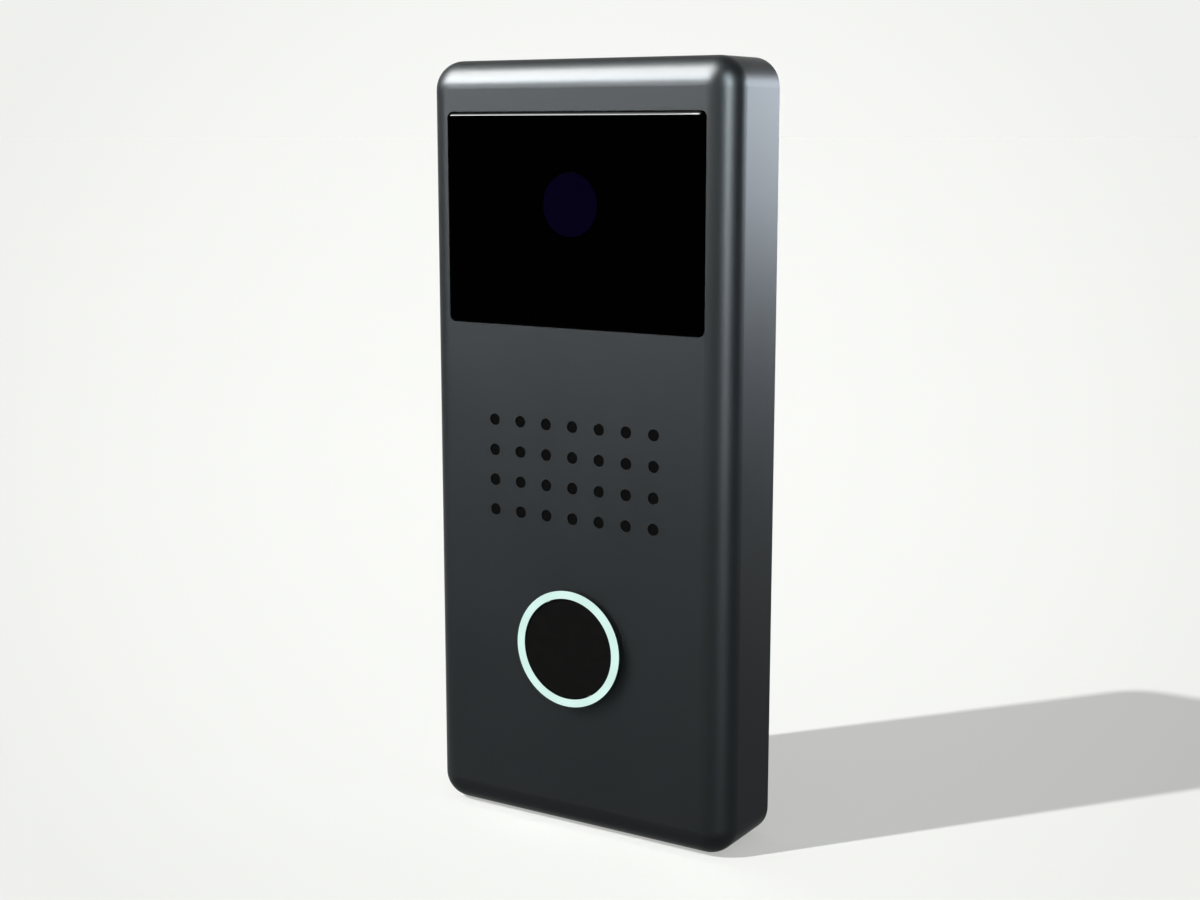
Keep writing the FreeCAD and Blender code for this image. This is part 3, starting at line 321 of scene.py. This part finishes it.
def mixBoardGreen():
    look = boardLook
    finish, shader = newFinish("boardResist", look["resist"], look["roughness"], look["specular"])
    place = addNode(finish, "ShaderNodeTexCoord")
    flat = addNode(finish, "ShaderNodeMapping", {"Rotation": (quarterTurn, 0, 0)})
    wire(finish, place.outputs["Object"], flat.inputs["Vector"])
    values = {**look["tracks"], **look["shades"]}
    blocks = addNode(finish, "ShaderNodeTexBrick", values, **look["rows"])
    wire(finish, flat.outputs["Vector"], blocks.inputs["Vector"])
    area = noiseAt(finish, place.outputs["Object"], look["areas"], look["areaDetail"])
    routed = addNode(finish, "ShaderNodeMath", operation="MULTIPLY")
    wire(finish, blocks.outputs["Fac"], routed.inputs[0])
    wire(finish, spread(finish, area, 0, 1, look["areaRange"]), routed.inputs[1])
    tint = tintBetween(finish, routed.outputs["Value"], look["resist"], look["track"])
    wire(finish, tint, shader.inputs["Base Color"])
    relief(finish, shader, routed.outputs["Value"], look["depth"])
    return finish


# plain finishes: grain per metre, depth of the relief and radius of worn edges in metres
plainLooks = {
    "lens_navy": {
        "name": "lensDisc", "colour": (0.0017, 0.0008, 0.0079), "roughness": 0.12, "specular": 0.002,
        "grain": 900, "depth": 2e-7, "shift": 0.06},
    "sleeve_black": {
        "name": "sleeveNylon", "colour": (0.0045, 0.0048, 0.005), "roughness": 0.7, "specular": 0.002,
        "grain": 3200, "depth": 4e-6},
    "button_black": {
        "name": "buttonCap", "colour": (0.0064, 0.0063, 0.0062), "roughness": 0.85, "specular": 0.0002,
        "grain": 6000, "depth": 3e-6, "shift": 0.08},
    "cover_black": {
        "name": "mouldedCover", "colour": (0.012, 0.0125, 0.0135), "roughness": 0.55, "specular": 0.2,
        "grain": 2600, "depth": 1e-5, "edge": 0.0002},
    "window_tape": {
        "name": "foamTape", "colour": (0.012, 0.012, 0.012), "roughness": 0.9, "specular": 0.1,
        "grain": 1500, "depth": 3e-5, "shift": 0.25},
    "lens_black": {
        "name": "blackenedBarrel", "colour": (0.008, 0.008, 0.008), "roughness": 0.4, "specular": 0.3,
        "grain": 3000, "depth": 3e-6},
    "lens_element": {
        "name": "coatedElement", "colour": (0.02, 0.015, 0.06), "roughness": 0.04, "specular": 0.6,
        "grain": 400, "depth": 1e-7, "shift": 0.2},
    "holder_black": {
        "name": "holderNylon", "colour": (0.012, 0.012, 0.013), "roughness": 0.5, "specular": 0.25,
        "grain": 2400, "depth": 8e-6},
    "filter_glass": {
        "name": "infraredFilter", "colour": (0.12, 0.3, 0.28), "roughness": 0.05, "specular": 0.5,
        "grain": 500, "depth": 1e-7, "shift": 0.1},
    "sensor_chip": {
        "name": "sensorSilicon", "colour": (0.06, 0.07, 0.09), "roughness": 0.15, "specular": 0.5,
        "grain": 2400, "depth": 5e-7, "shift": 0.2},
    "chip_black": {
        "name": "chipResin", "colour": (0.014, 0.014, 0.015), "roughness": 0.6, "specular": 0.25,
        "grain": 3600, "depth": 6e-6},
    "screw_steel": {
        "name": "zincPlatedScrew", "colour": (0.48, 0.49, 0.5), "roughness": 0.3, "specular": 0.5,
        "grain": 1800, "depth": 2e-6, "shift": 0.1, "metallic": 1.0, "edge": 0.00012},
    "lamp_clear": {
        "name": "lampResin", "colour": (0.16, 0.13, 0.2), "roughness": 0.1, "specular": 0.5,
        "grain": 1200, "depth": 1e-6, "shift": 0.1},
    "gasket_black": {
        "name": "rubberGasket", "colour": (0.009, 0.009, 0.009), "roughness": 0.8, "specular": 0.15,
        "grain": 2200, "depth": 1e-5, "shift": 0.2},
    "basket_steel": {
        "name": "pressedSteel", "colour": (0.3, 0.31, 0.32), "roughness": 0.38, "specular": 0.5,
        "grain": 1500, "depth": 3e-6, "shift": 0.1, "metallic": 1.0},
    "cone_film": {
        "name": "coneFilm", "colour": (0.03, 0.03, 0.032), "roughness": 0.4, "specular": 0.3,
        "grain": 1400, "depth": 1e-5, "shift": 0.2},
    "coil_copper": {
        "name": "coilCopper", "colour": (0.72, 0.34, 0.16), "roughness": 0.3, "specular": 0.5,
        "grain": 5200, "depth": 2e-5, "shift": 0.15, "metallic": 1.0, "stretch": (0.1, 1, 0.1)},
    "magnet_grey": {
        "name": "sinteredMagnet", "colour": (0.11, 0.11, 0.115), "roughness": 0.55, "specular": 0.4,
        "grain": 2000, "depth": 1e-5, "shift": 0.2},
    "spring_steel": {
        "name": "springWire", "colour": (0.4, 0.41, 0.42), "roughness": 0.25, "specular": 0.5,
        "grain": 2600, "depth": 2e-6, "shift": 0.1, "metallic": 1.0},
    "plunger_ivory": {
        "name": "plungerNylon", "colour": (0.62, 0.58, 0.48), "roughness": 0.45, "specular": 0.4,
        "grain": 2000, "depth": 4e-6, "shift": 0.05},
    "lamp_white": {
        "name": "ringLampResin", "colour": (0.7, 0.68, 0.5), "roughness": 0.35, "specular": 0.4,
        "grain": 1800, "depth": 4e-6, "shift": 0.05},
    "relay_white": {
        "name": "relayCase", "colour": (0.55, 0.56, 0.55), "roughness": 0.4, "specular": 0.4,
        "grain": 1600, "depth": 6e-6, "shift": 0.05},
    "capacitor_can": {
        "name": "capacitorCan", "colour": (0.55, 0.56, 0.58), "roughness": 0.25, "specular": 0.5,
        "grain": 2400, "depth": 2e-6, "shift": 0.1, "metallic": 1.0, "stretch": (1, 0.1, 1)},
    "terminal_green": {
        "name": "terminalNylon", "colour": (0.012, 0.16, 0.05), "roughness": 0.42, "specular": 0.35,
        "grain": 2200, "depth": 8e-6, "shift": 0.1, "edge": 0.00015},
    "brass_screw": {
        "name": "nickelledBrass", "colour": (0.5, 0.44, 0.3), "roughness": 0.3, "specular": 0.5,
        "grain": 2400, "depth": 3e-6, "metallic": 1.0, "edge": 0.0001},
    "socket_ivory": {
        "name": "socketNylon", "colour": (0.6, 0.56, 0.45), "roughness": 0.45, "specular": 0.4,
        "grain": 2200, "depth": 6e-6, "shift": 0.06},
    "cable_white": {
        "name": "flatCable", "colour": (0.6, 0.6, 0.58), "roughness": 0.4, "specular": 0.4,
        "grain": 2600, "depth": 1e-5, "stretch": (4, 0.2, 0.2)},
    "lead_red": {
        "name": "leadSleeve", "colour": (0.35, 0.015, 0.012), "roughness": 0.45, "specular": 0.4,
        "grain": 2600, "depth": 6e-6, "shift": 0.1},
}
finishes = {
    "case_metal": mixCaseMetal(),
    "window_black": mixWindow("windowGlass", windowLook["faceGloss"]),
    "light_guide": mixLightGuide(),
    "mesh_black": mixGrilleCloth(),
    "bracket_steel": mixBracketSteel(),
    "board_green": mixBoardGreen(),
}
finishes.update({slotName: plainGrain(**look) for slotName, look in plainLooks.items()})
windowEdge = mixWindow("windowEdge", windowLook["edgeGloss"])
print("stage: finishes mixed,", len(finishes))


for node in cadNodes.values():
    for place in node.material_slots:
        slotName = place.material.name.split(".")[0] if place.material else ""
        place.material = finishes.get(slotName, place.material)
print("stage: finishes on the carried-over pieces")


# mesh helpers
def mm(*values):
    return tuple(value * millimetre for value in values)


def endPiece(name, form, slotName, standsFor, smooth, extra=()):
    # turns a form into a piece of the station; edges under the smooth angle are shaded round
    sheet = bpy.data.meshes.new(name)
    bmesh.ops.recalc_face_normals(form, faces=form.faces)
    form.to_mesh(sheet)
    form.free()
    for finish in (finishes[slotName], *extra):
        sheet.materials.append(finish)
    sheet.shade_smooth()
    sheet.set_sharp_from_angle(angle=math.radians(smooth))
    piece = bpy.data.objects.new(name, sheet)
    bpy.context.scene.collection.objects.link(piece)
    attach(piece, "station")
    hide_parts(standsFor)
    return piece


def turnInto(form, profile, x, z, steps, closed=True):
    # turns (radius, y) points about an axis along Y through (x, z)
    rings = []
    for radius, y in profile:
        turns = [wholeTurn * i / steps for i in range(1 if radius == 0 else steps)]
        places = [(x + radius * math.cos(turn), y, z + radius * math.sin(turn)) for turn in turns]
        rings.append([form.verts.new(place) for place in places])
    pairs = list(zip(rings, rings[1:] + rings[:1])) if closed else list(zip(rings, rings[1:]))
    for first, second in pairs:
        if len(first) == 1 and len(second) == 1:
            continue
        for i in range(steps):
            j = (i + 1) % steps
            corners = [first[0]] if len(first) == 1 else [first[i], first[j]]
            corners += [second[0]] if len(second) == 1 else [second[j], second[i]]
            form.faces.new(corners)


def turnPin(form, radius, front, back, x, z, steps):
    # a plain round pin along Y, all in millimetres but its place
    profile = [(0, front), (radius, front), (radius, back), (0, back)]
    turnInto(form, [mm(*point) for point in profile], x, z, steps, False)


def cutThrough(form, cutter):
    # bores holes: the second form is taken out of the first
    made = []
    for name, shape in (("cutBody", form), ("cutTool", cutter)):
        bmesh.ops.recalc_face_normals(shape, faces=shape.faces)
        sheet = bpy.data.meshes.new(name)
        shape.to_mesh(sheet)
        shape.free()
        made.append(bpy.data.objects.new(name, sheet))
        bpy.context.scene.collection.objects.link(made[-1])
    for _ in range(2):
        made[0].data.materials.append(None)  # two slots, so that the faces keep their finish
    bore = made[0].modifiers.new("bore", "BOOLEAN")
    bore.operation, bore.solver, bore.object = "DIFFERENCE", "EXACT", made[1]
    result = bmesh.new()
    result.from_object(made[0], bpy.context.evaluated_depsgraph_get())
    for piece in made:
        sheet = piece.data
        bpy.data.objects.remove(piece)
        bpy.data.meshes.remove(sheet)
    return result


def roundedOutline(halfX, halfZ, corner, steps):
    places = []
    for quarter, (sideX, sideZ) in enumerate(((1, 1), (-1, 1), (-1, -1), (1, -1))):
        middleX, middleZ = sideX * (halfX - corner), sideZ * (halfZ - corner)
        for i in range(steps + 1):
            turn = quarterTurn * (quarter + i / steps)
            places.append((middleX + corner * math.cos(turn), middleZ + corner * math.sin(turn)))
    return places


def loftInto(form, loops):
    # skins a row of loops and closes both ends
    rings = [[form.verts.new(point) for point in loop] for loop in loops]
    for first, second in zip(rings, rings[1:]):
        for i in range(len(first)):
            j = (i + 1) % len(first)
            form.faces.new((first[i], first[j], second[j], second[i]))
    form.faces.new(rings[0][::-1])
    form.faces.new(rings[-1])


# camera window: glass panel with a round edge, polished where it catches the light; angles are from the front
windowShape = {
    "halfWidth": 33.15, "halfHeight": 23.55, "middle": 52.7, "front": -22.5, "back": -20.5,
    "corner": 1.4, "tightest": 0.35, "cornerSteps": 12, "edge": 1.0, "edgeSteps": 18, "land": 0.1, "flat": 0.02,
    "polished": (5, 24), "polishLean": 0.3, "smooth": 60,
}


def makeWindow():
    shape = windowShape
    form = bmesh.new()
    loops = []

    def addLoop(inset, y):
        corner = max(shape["corner"] - inset, shape["tightest"])
        halves = (shape["halfWidth"] - inset, shape["halfHeight"] - inset)
        outline = roundedOutline(*halves, corner, shape["cornerSteps"])
        loops.append([mm(x, y, z + shape["middle"]) for x, z in outline])

    edge, front = shape["edge"], shape["front"]
    addLoop(0, shape["back"])
    addLoop(0, front + edge + shape["land"])
    for i in range(shape["edgeSteps"] + 1):
        turn = quarterTurn * i / shape["edgeSteps"]
        addLoop(edge * (1 - math.cos(turn)), front + edge * (1 - math.sin(turn)))
    addLoop(edge + shape["flat"], front)
    loftInto(form, loops)
    form.normal_update()
    low, high = (math.sin(math.radians(angle)) for angle in shape["polished"])
    for face in form.faces:
        if low < face.normal.z < high and abs(face.normal.x) < face.normal.z * shape["polishLean"]:
            face.material_index = 1  # the band along the top edge
    endPiece("windowPanel", form, "window_black", "camera_window", shape["smooth"], (windowEdge,))


makeWindow()
print("stage: camera window")


# luminous ring: round frosted guide on a thinner neck, with a leg to each lamp
ringShape = {
    "centre": -43.75, "radius": 12.62, "tube": 0.88, "tubeSteps": 24, "crest": -24.88, "steps": 144,
    "neckInner": 12.25, "neckOuter": 12.6, "neckEnd": -17.0, "neckSteps": 96, "sunk": 0.3,
    "legs": 8, "legRadius": 0.45, "legEnd": -12.6, "legSteps": 16, "smooth": 50,
}
buttonZ = ringShape["centre"] * millimetre


def placesRound(count, circle, start=0):
    # places on a circle round the button, the first at the top, in millimetres
    turns = (quarterTurn + wholeTurn * (i + start) / count for i in range(count))
    return [(circle * math.cos(turn), circle * math.sin(turn)) for turn in turns]


def makeRing():
    shape = ringShape
    form = bmesh.new()
    middle = shape["crest"] + shape["tube"]
    tube = []
    for i in range(shape["tubeSteps"]):
        turn = wholeTurn * i / shape["tubeSteps"]
        tube.append(mm(shape["radius"] + shape["tube"] * math.cos(turn), middle + shape["tube"] * math.sin(turn)))
    turnInto(form, tube, 0, buttonZ, shape["steps"])
    inner, outer, front, back = shape["neckInner"], shape["neckOuter"], middle + shape["sunk"], shape["neckEnd"]
    neck = [mm(inner, front), mm(outer, front), mm(outer, back), mm(inner, back)]
    turnInto(form, neck, 0, buttonZ, shape["neckSteps"])
    for x, z in placesRound(shape["legs"], shape["radius"]):
        ends = (back - shape["sunk"], shape["legEnd"])
        turnPin(form, shape["legRadius"], *ends, *mm(x, shape["centre"] + z), shape["legSteps"])
    endPiece("glowRing", form, "light_guide", "light_ring", shape["smooth"])


makeRing()
print("stage: luminous ring")


# sleeve of the button: flush collar in the case's own finish, a dark lip under the ring, cup and floor behind
sleeveShape = {
    "lipInner": 11.7, "lipTop": -23.97, "lipBack": -22.6, "lipEdge": 0.04, "neckInner": 12.62, "neckOuter": 12.95,
    "collarOuter": 13.9, "collarTop": -21.81, "collarBack": -21.0, "collarIn": 0.05, "collarDown": 0.06,
    "cupOuter": 13.69, "cupInner": 13.29, "shoulderIn": 0.3, "shoulderOut": 0.2, "floorFront": -18.6,
    "floorBack": -17.2, "flange": 19.6, "flangeEdge": 0.15, "stemBore": 2.48, "steps": 144,
    "screws": 3, "screwCircle": 17.4, "screwTurn": 0.5, "screwHole": 1.35, "legHole": 0.6, "past": 0.5, "holeSteps": 24,
    "finishGap": 0.01, "smooth": 35,
}


def makeSleeve():
    shape = sleeveShape
    form = bmesh.new()
    lip, lipTop, edge = shape["lipInner"], shape["lipTop"], shape["flangeEdge"]
    collar, collarTop, collarBack = shape["collarOuter"], shape["collarTop"], shape["collarBack"]
    flange, floorFront, floorBack = shape["flange"], shape["floorFront"], shape["floorBack"]
    profile = [
        (shape["stemBore"], floorFront), (shape["cupInner"], floorFront), (shape["cupInner"], collarBack),
        (shape["neckInner"], collarBack - shape["shoulderIn"]), (shape["neckInner"], shape["lipBack"]),
        (lip, shape["lipBack"]), (lip, lipTop + shape["lipEdge"]), (lip + shape["lipEdge"], lipTop),
        (shape["neckOuter"], lipTop), (shape["neckOuter"], collarTop),
        (collar - shape["collarIn"], collarTop), (collar, collarTop + shape["collarDown"]), (collar, collarBack),
        (shape["cupOuter"], collarBack + shape["shoulderOut"]), (shape["cupOuter"], floorFront),
        (flange - edge, floorFront), (flange, floorFront + edge), (flange, floorBack - edge),
        (flange - edge, floorBack), (shape["stemBore"], floorBack),
    ]
    turnInto(form, [mm(*point) for point in profile], 0, buttonZ, shape["steps"])
    bmesh.ops.recalc_face_normals(form, faces=form.faces)
    reach, depth = mm(shape["neckOuter"] + shape["finishGap"], collarBack)
    for face in form.faces:
        middle = face.calc_center_median()
        if middle.y < depth and math.hypot(middle.x, middle.z - buttonZ) > reach:
            face.material_index = 1  # the collar
    cutter = bmesh.new()
    holes = [(place, shape["screwHole"]) for place in placesRound(shape["screws"], shape["screwCircle"], shape["screwTurn"])]
    holes += [(place, shape["legHole"]) for place in placesRound(ringShape["legs"], ringShape["radius"])]
    for (x, z), radius in holes:
        ends = (floorFront - shape["past"], floorBack + shape["past"])
        across, up = mm(x, z)
        turnPin(cutter, radius, *ends, across, up + buttonZ, shape["holeSteps"])
    bored = cutThrough(form, cutter)
    caseMetal = finishes["case_metal"]
    endPiece("buttonSleeve", bored, "sleeve_black", "button_carrier", shape["smooth"], (caseMetal,))


makeSleeve()
print("stage: button sleeve")


# grille inserts: cups of acoustic cloth drawn forward into the 28 holes from one sheet behind the face
grilleShape = {
    "columns": 7, "rows": 4, "pitch": 7.0, "top": 7.05, "outer": 1.352, "inner": 1.15, "middle": 0.6,
    "front": -21.6, "dish": 0.06, "slope": 0.7, "brim": 0.12, "sheetFront": -19.2, "sunk": 0.05,
    "cupSteps": 32, "corner": 2.0, "cornerSteps": 8, "smooth": 40,
}


def makeGrilleCloth():
    shape = grilleShape
    low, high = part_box("speaker_mesh")
    form = bmesh.new()
    corner = shape["corner"] * millimetre
    outline = roundedOutline((high.x - low.x) / 2, (high.z - low.z) / 2, corner, shape["cornerSteps"])
    middleX, middleZ = (low.x + high.x) / 2, (low.z + high.z) / 2
    loftInto(form, [[(x + middleX, y, z + middleZ) for x, z in outline] for y in (low.y, high.y)])
    front, outer = shape["front"], shape["outer"]
    cup = [
        (0, front + shape["dish"]), (shape["middle"], front + shape["dish"] * shape["slope"]),
        (shape["inner"], front), (outer, front + shape["brim"]), (outer, shape["sheetFront"] + shape["sunk"]),
    ]
    firstColumn = -(shape["columns"] - 1) / 2
    for row in range(shape["rows"]):
        for column in range(shape["columns"]):
            x, z = mm((column + firstColumn) * shape["pitch"], shape["top"] - row * shape["pitch"])
            turnInto(form, [mm(*point) for point in cup], x, z, shape["cupSteps"], False)
    endPiece("grilleCloth", form, "mesh_black", "speaker_mesh", shape["smooth"])


makeGrilleCloth()
print("stage: grille cloth")


# return spring under the button: round wire with closer end turns
springShape = {
    "coil": 6.6, "wire": 0.3, "turns": 3.5, "closed": 0.5, "stepsPerTurn": 48, "sides": 12, "clear": 0.01,
    "nearby": 0.0001, "pressed": 0.765, "smooth": 50,
}


def makeSpring():
    shape = springShape
    low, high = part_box("button_spring")
    wireRadius, coil, clear = mm(shape["wire"], shape["coil"], shape["clear"])
    front, back = low.y + wireRadius + clear, high.y - wireRadius - clear

    def along(share):
        turn = wholeTurn * shape["turns"] * share
        rise = share - shape["closed"] * math.sin(wholeTurn * share) / wholeTurn
        return Vector((coil * math.cos(turn), front + (back - front) * rise, buttonZ + coil * math.sin(turn)))

    loops = []
    steps = int(shape["turns"] * shape["stepsPerTurn"])
    for i in range(steps + 1):
        share, nearby = i / steps, shape["nearby"]
        place = along(share)
        forward = (along(share + nearby) - along(share - nearby)).normalized()
        outward = Vector((place.x, 0, place.z - buttonZ)).normalized()
        across = forward.cross(outward).normalized()
        outward = across.cross(forward)
        turns = [wholeTurn * j / shape["sides"] for j in range(shape["sides"])]
        loops.append([place + wireRadius * (math.cos(turn) * outward + math.sin(turn) * across) for turn in turns])
    form = bmesh.new()
    loftInto(form, loops)
    spring = endPiece("returnSpring", form, "spring_steel", "button_spring", shape["smooth"])
    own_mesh(spring)


makeSpring()
print("stage: return spring")


# floor and light: a painted pool of light, brightest on one line behind the piece and falling off gently to the
# sides, painted into the floor and the world alike
studio = {
    "worldShown": (0.965, 0.974, 0.945), "worldLight": 0.647,
    "sunStrength": 1.853, "sunSoftness": 1.2, "sunTowards": (-0.459, -0.588, 0.664), "floorSun": 6.15,
    "paintedPoolOrigin": (0.21329, -0.35394, 0.07193), "paintedPoolAxis": (-0.5189, 0.8368, -0.1748),
    "paintedPoolLoss": 0.716, "paintedPoolMostLoss": 0.1, "leastSlope": 0.001,
}
# part of the floor's white is its own glow, so that the piece's soft shade on it stays as faint as in the photograph
floorShape = {"height": cadLow[2], "reach": 60.0, "sides": 96, "share": 0.25, "glow": 0.454, "bounce": 0.444}
floorLook = {
    "name": "paleFloor", "colour": (0.930, 0.938, 0.910), "roughness": 0.9, "specular": 0.0,
    "grain": 30, "depth": 0.0, "shift": 0.003,
}


def plug(owner, value, socket):
    # a value is either a plain number or colour, or another node's output
    if isinstance(value, bpy.types.NodeSocket):
        wire(owner, value, socket)
    else:
        socket.default_value = value


def reckon(owner, operation, *values):
    node = addNode(owner, "ShaderNodeMath", operation=operation)
    for socket, value in zip(node.inputs, values):
        plug(owner, value, socket)
    return node.outputs["Value"]


def scaleColour(owner, colour, factor):
    scaled = addNode(owner, "ShaderNodeVectorMath", operation="SCALE")
    plug(owner, colour, scaled.inputs[0])
    wire(owner, factor, scaled.inputs["Scale"])
    return scaled.outputs["Vector"]


def paintedPoolFactor(owner, towards):
    # painted pool of light: 1 on its middle line, less with the square of the slope away from it
    along = addNode(owner, "ShaderNodeVectorMath", {1: studio["paintedPoolAxis"]}, operation="DOT_PRODUCT")
    length = addNode(owner, "ShaderNodeVectorMath", operation="LENGTH")
    wire(owner, towards, along.inputs[0])
    wire(owner, towards, length.inputs[0])
    straight = reckon(owner, "ABSOLUTE", along.outputs["Value"])
    straight = reckon(owner, "MAXIMUM", straight, studio["leastSlope"])
    ratio = reckon(owner, "DIVIDE", length.outputs["Value"], straight)
    slope = reckon(owner, "SUBTRACT", reckon(owner, "MULTIPLY", ratio, ratio), 1.0)
    loss = reckon(owner, "MULTIPLY", slope, studio["paintedPoolLoss"])
    return reckon(owner, "SUBTRACT", 1.0, reckon(owner, "MINIMUM", loss, studio["paintedPoolMostLoss"]))


def seenDirectly(owner):
    # 1 where the camera, a gloss or a glass looks, 0 where matt light is gathered
    path = addNode(owner, "ShaderNodeLightPath")
    seen = reckon(owner, "MAXIMUM", path.outputs["Is Camera Ray"], path.outputs["Is Glossy Ray"])
    return reckon(owner, "MAXIMUM", seen, path.outputs["Is Transmission Ray"])


def mixFloor():
    finish = plainGrain(**floorLook)
    shader = finish.node_tree.nodes["Principled BSDF"]
    place = addNode(finish, "ShaderNodeNewGeometry")
    away = addNode(finish, "ShaderNodeVectorMath", {1: studio["paintedPoolOrigin"]}, operation="SUBTRACT")
    wire(finish, place.outputs["Position"], away.inputs[0])
    tint = shader.inputs["Base Color"].links[0].from_socket
    # painted light: the floor's tint, and with it its glow, is scaled by the painted pool of light
    lit = scaleColour(finish, tint, paintedPoolFactor(finish, away.outputs["Vector"]))
    seen = seenDirectly(finish)
    share = spread(finish, seen, floorShape["bounce"], floorShape["share"], (0, 1))
    wire(finish, scaleColour(finish, lit, share), shader.inputs["Base Color"])
    wire(finish, lit, shader.inputs["Emission Color"])
    wire(finish, spread(finish, seen, 0, floorShape["glow"], (0, 1)), shader.inputs["Emission Strength"])
    return finish


def makeFloor():
    sheet = bpy.data.meshes.new("paleFloor")
    form = bmesh.new()
    bmesh.ops.create_circle(form, cap_ends=True, segments=floorShape["sides"], radius=floorShape["reach"])
    form.to_mesh(sheet)
    form.free()
    floor = bpy.data.objects.new("paleFloor", sheet)
    bpy.context.scene.collection.objects.link(floor)
    floor.location = (0, 0, floorShape["height"])
    floor.data.materials.append(mixFloor())
    return floor


def makeWorld():
    world = bpy.data.worlds.new("studioWorld")
    bpy.context.scene.world = world
    world.use_nodes = True
    shown = world.node_tree.nodes["Background"]
    direction = addNode(world, "ShaderNodeTexCoord").outputs["Generated"]
    # painted light: the world as seen by camera and gloss is scaled by the same painted pool of light
    backdrop = scaleColour(world, studio["worldShown"], paintedPoolFactor(world, direction))
    wire(world, backdrop, shown.inputs["Color"])
    soft = addNode(world, "ShaderNodeBackground", {"Color": (1, 1, 1, 1), "Strength": studio["worldLight"]})
    mix = addNode(world, "ShaderNodeMixShader")
    wire(world, seenDirectly(world), mix.inputs["Fac"])
    wire(world, soft.outputs[0], mix.inputs[1])
    wire(world, shown.outputs[0], mix.inputs[2])
    wire(world, mix.outputs[0], world.node_tree.nodes["World Output"].inputs["Surface"])


def aimLamp(lamp, towards):
    lamp.rotation_euler = Vector(towards).to_track_quat("Z", "Y").to_euler()


def makeSun(name, strength):
    sun = bpy.data.objects.new(name, bpy.data.lights.new(name, "SUN"))
    bpy.context.scene.collection.objects.link(sun)
    sun.data.energy = strength
    sun.data.angle = math.radians(studio["sunSoftness"])
    aimLamp(sun, studio["sunTowards"])
    return sun


def makeFloorSun(floor):
    # draws the piece's shadow on the floor and lights nothing else
    onFloor = bpy.data.collections.new("onFloor")
    onFloor.objects.link(floor)
    makeSun("floorSun", studio["floorSun"]).light_linking.receiver_collection = onFloor


# strips that show only as gloss on the satin front pieces: where each one stands, in degrees round from the
# front and above the floor, and how wide and tall it looks from the piece; strengths and tints were first
# solved by a least-squares fit to the photograph, then rounded and corrected
sheenLamps = {
    "keyEdge": {"at": (-36, 28), "span": (40, 8), "radiance": 735, "colour": (0.95, 1.00, 1.03)},
    "keyMain": {"at": (-36, 48), "span": (40, 32), "radiance": 365, "colour": (1.00, 1.00, 0.98)},
    "keyTop": {"at": (-36, 72), "span": (40, 16), "radiance": 105, "colour": (0.92, 1.00, 0.98)},
    "lowLeft": {"at": (-36, 4), "span": (40, 8), "radiance": 89, "colour": (0.92, 1.00, 1.02)},
    "lowMiddle": {"at": (4, 6), "span": (40, 12), "radiance": 36, "colour": (0.97, 1.00, 0.97)},
    "sideFront": {"at": (48, 12), "span": (12, 22), "radiance": 110, "colour": (0.84, 1.00, 1.12)},
    "sideMain": {"at": (60, 12), "span": (12, 22), "radiance": 445, "colour": (0.94, 1.00, 1.02)},
    "sideRear": {"at": (72, 12), "span": (12, 22), "radiance": 175, "colour": (0.86, 1.00, 1.06)},
    "sideHigh": {"at": (60, 34), "span": (24, 20), "radiance": 225, "colour": (0.84, 1.00, 1.03)},
    "farLeft": {"at": (-70, 30), "span": (16, 30), "radiance": 60, "colour": (0.95, 1.00, 0.98)},
    "behind": {"at": (172, 8), "span": (44, 20), "radiance": 30, "colour": (0.92, 1.00, 1.09)},
    "behindRight": {"at": (140, 8), "span": (20, 16), "radiance": 57, "colour": (0.87, 1.00, 1.14)},
}
sheenDistance = 2.0
satinPieces = ("front_housing", "buttonSleeve", "call_button")
glossPieces = satinPieces + ("windowPanel",)  # the window's edge shows the key alone


def gatherPieces(name, pieces):
    group = bpy.data.collections.new(name)
    for piece in pieces:
        group.objects.link(bpy.data.objects[piece])
    return group


def makeSheenLamps():
    satin, gloss = gatherPieces("satinPieces", satinPieces), gatherPieces("glossPieces", glossPieces)
    for name, strip in sheenLamps.items():
        lamp = bpy.data.objects.new(name, bpy.data.lights.new(name, "AREA"))
        bpy.context.scene.collection.objects.link(lamp)
        turn, above = (math.radians(angle) for angle in strip["at"])
        level = math.cos(above)
        towards = Vector((math.sin(turn) * level, -math.cos(turn) * level, math.sin(above)))
        width, height = (2 * sheenDistance * math.tan(math.radians(angle / 2)) for angle in strip["span"])
        lamp.data.shape = "RECTANGLE"
        lamp.data.size, lamp.data.size_y = width, height
        lamp.data.energy = strip["radiance"] * math.pi * width * height
        lamp.data.color = strip["colour"]
        lamp.location = towards * sheenDistance
        aimLamp(lamp, towards)
        lamp.visible_camera = False
        lamp.visible_diffuse = False
        lamp.light_linking.receiver_collection = gloss if name.startswith("key") else satin


makeFloorSun(makeFloor())
makeWorld()
makeSun("keySun", studio["sunStrength"])
makeSheenLamps()
bpy.context.scene.view_settings.view_transform = "Standard"
print("stage: floor and light")
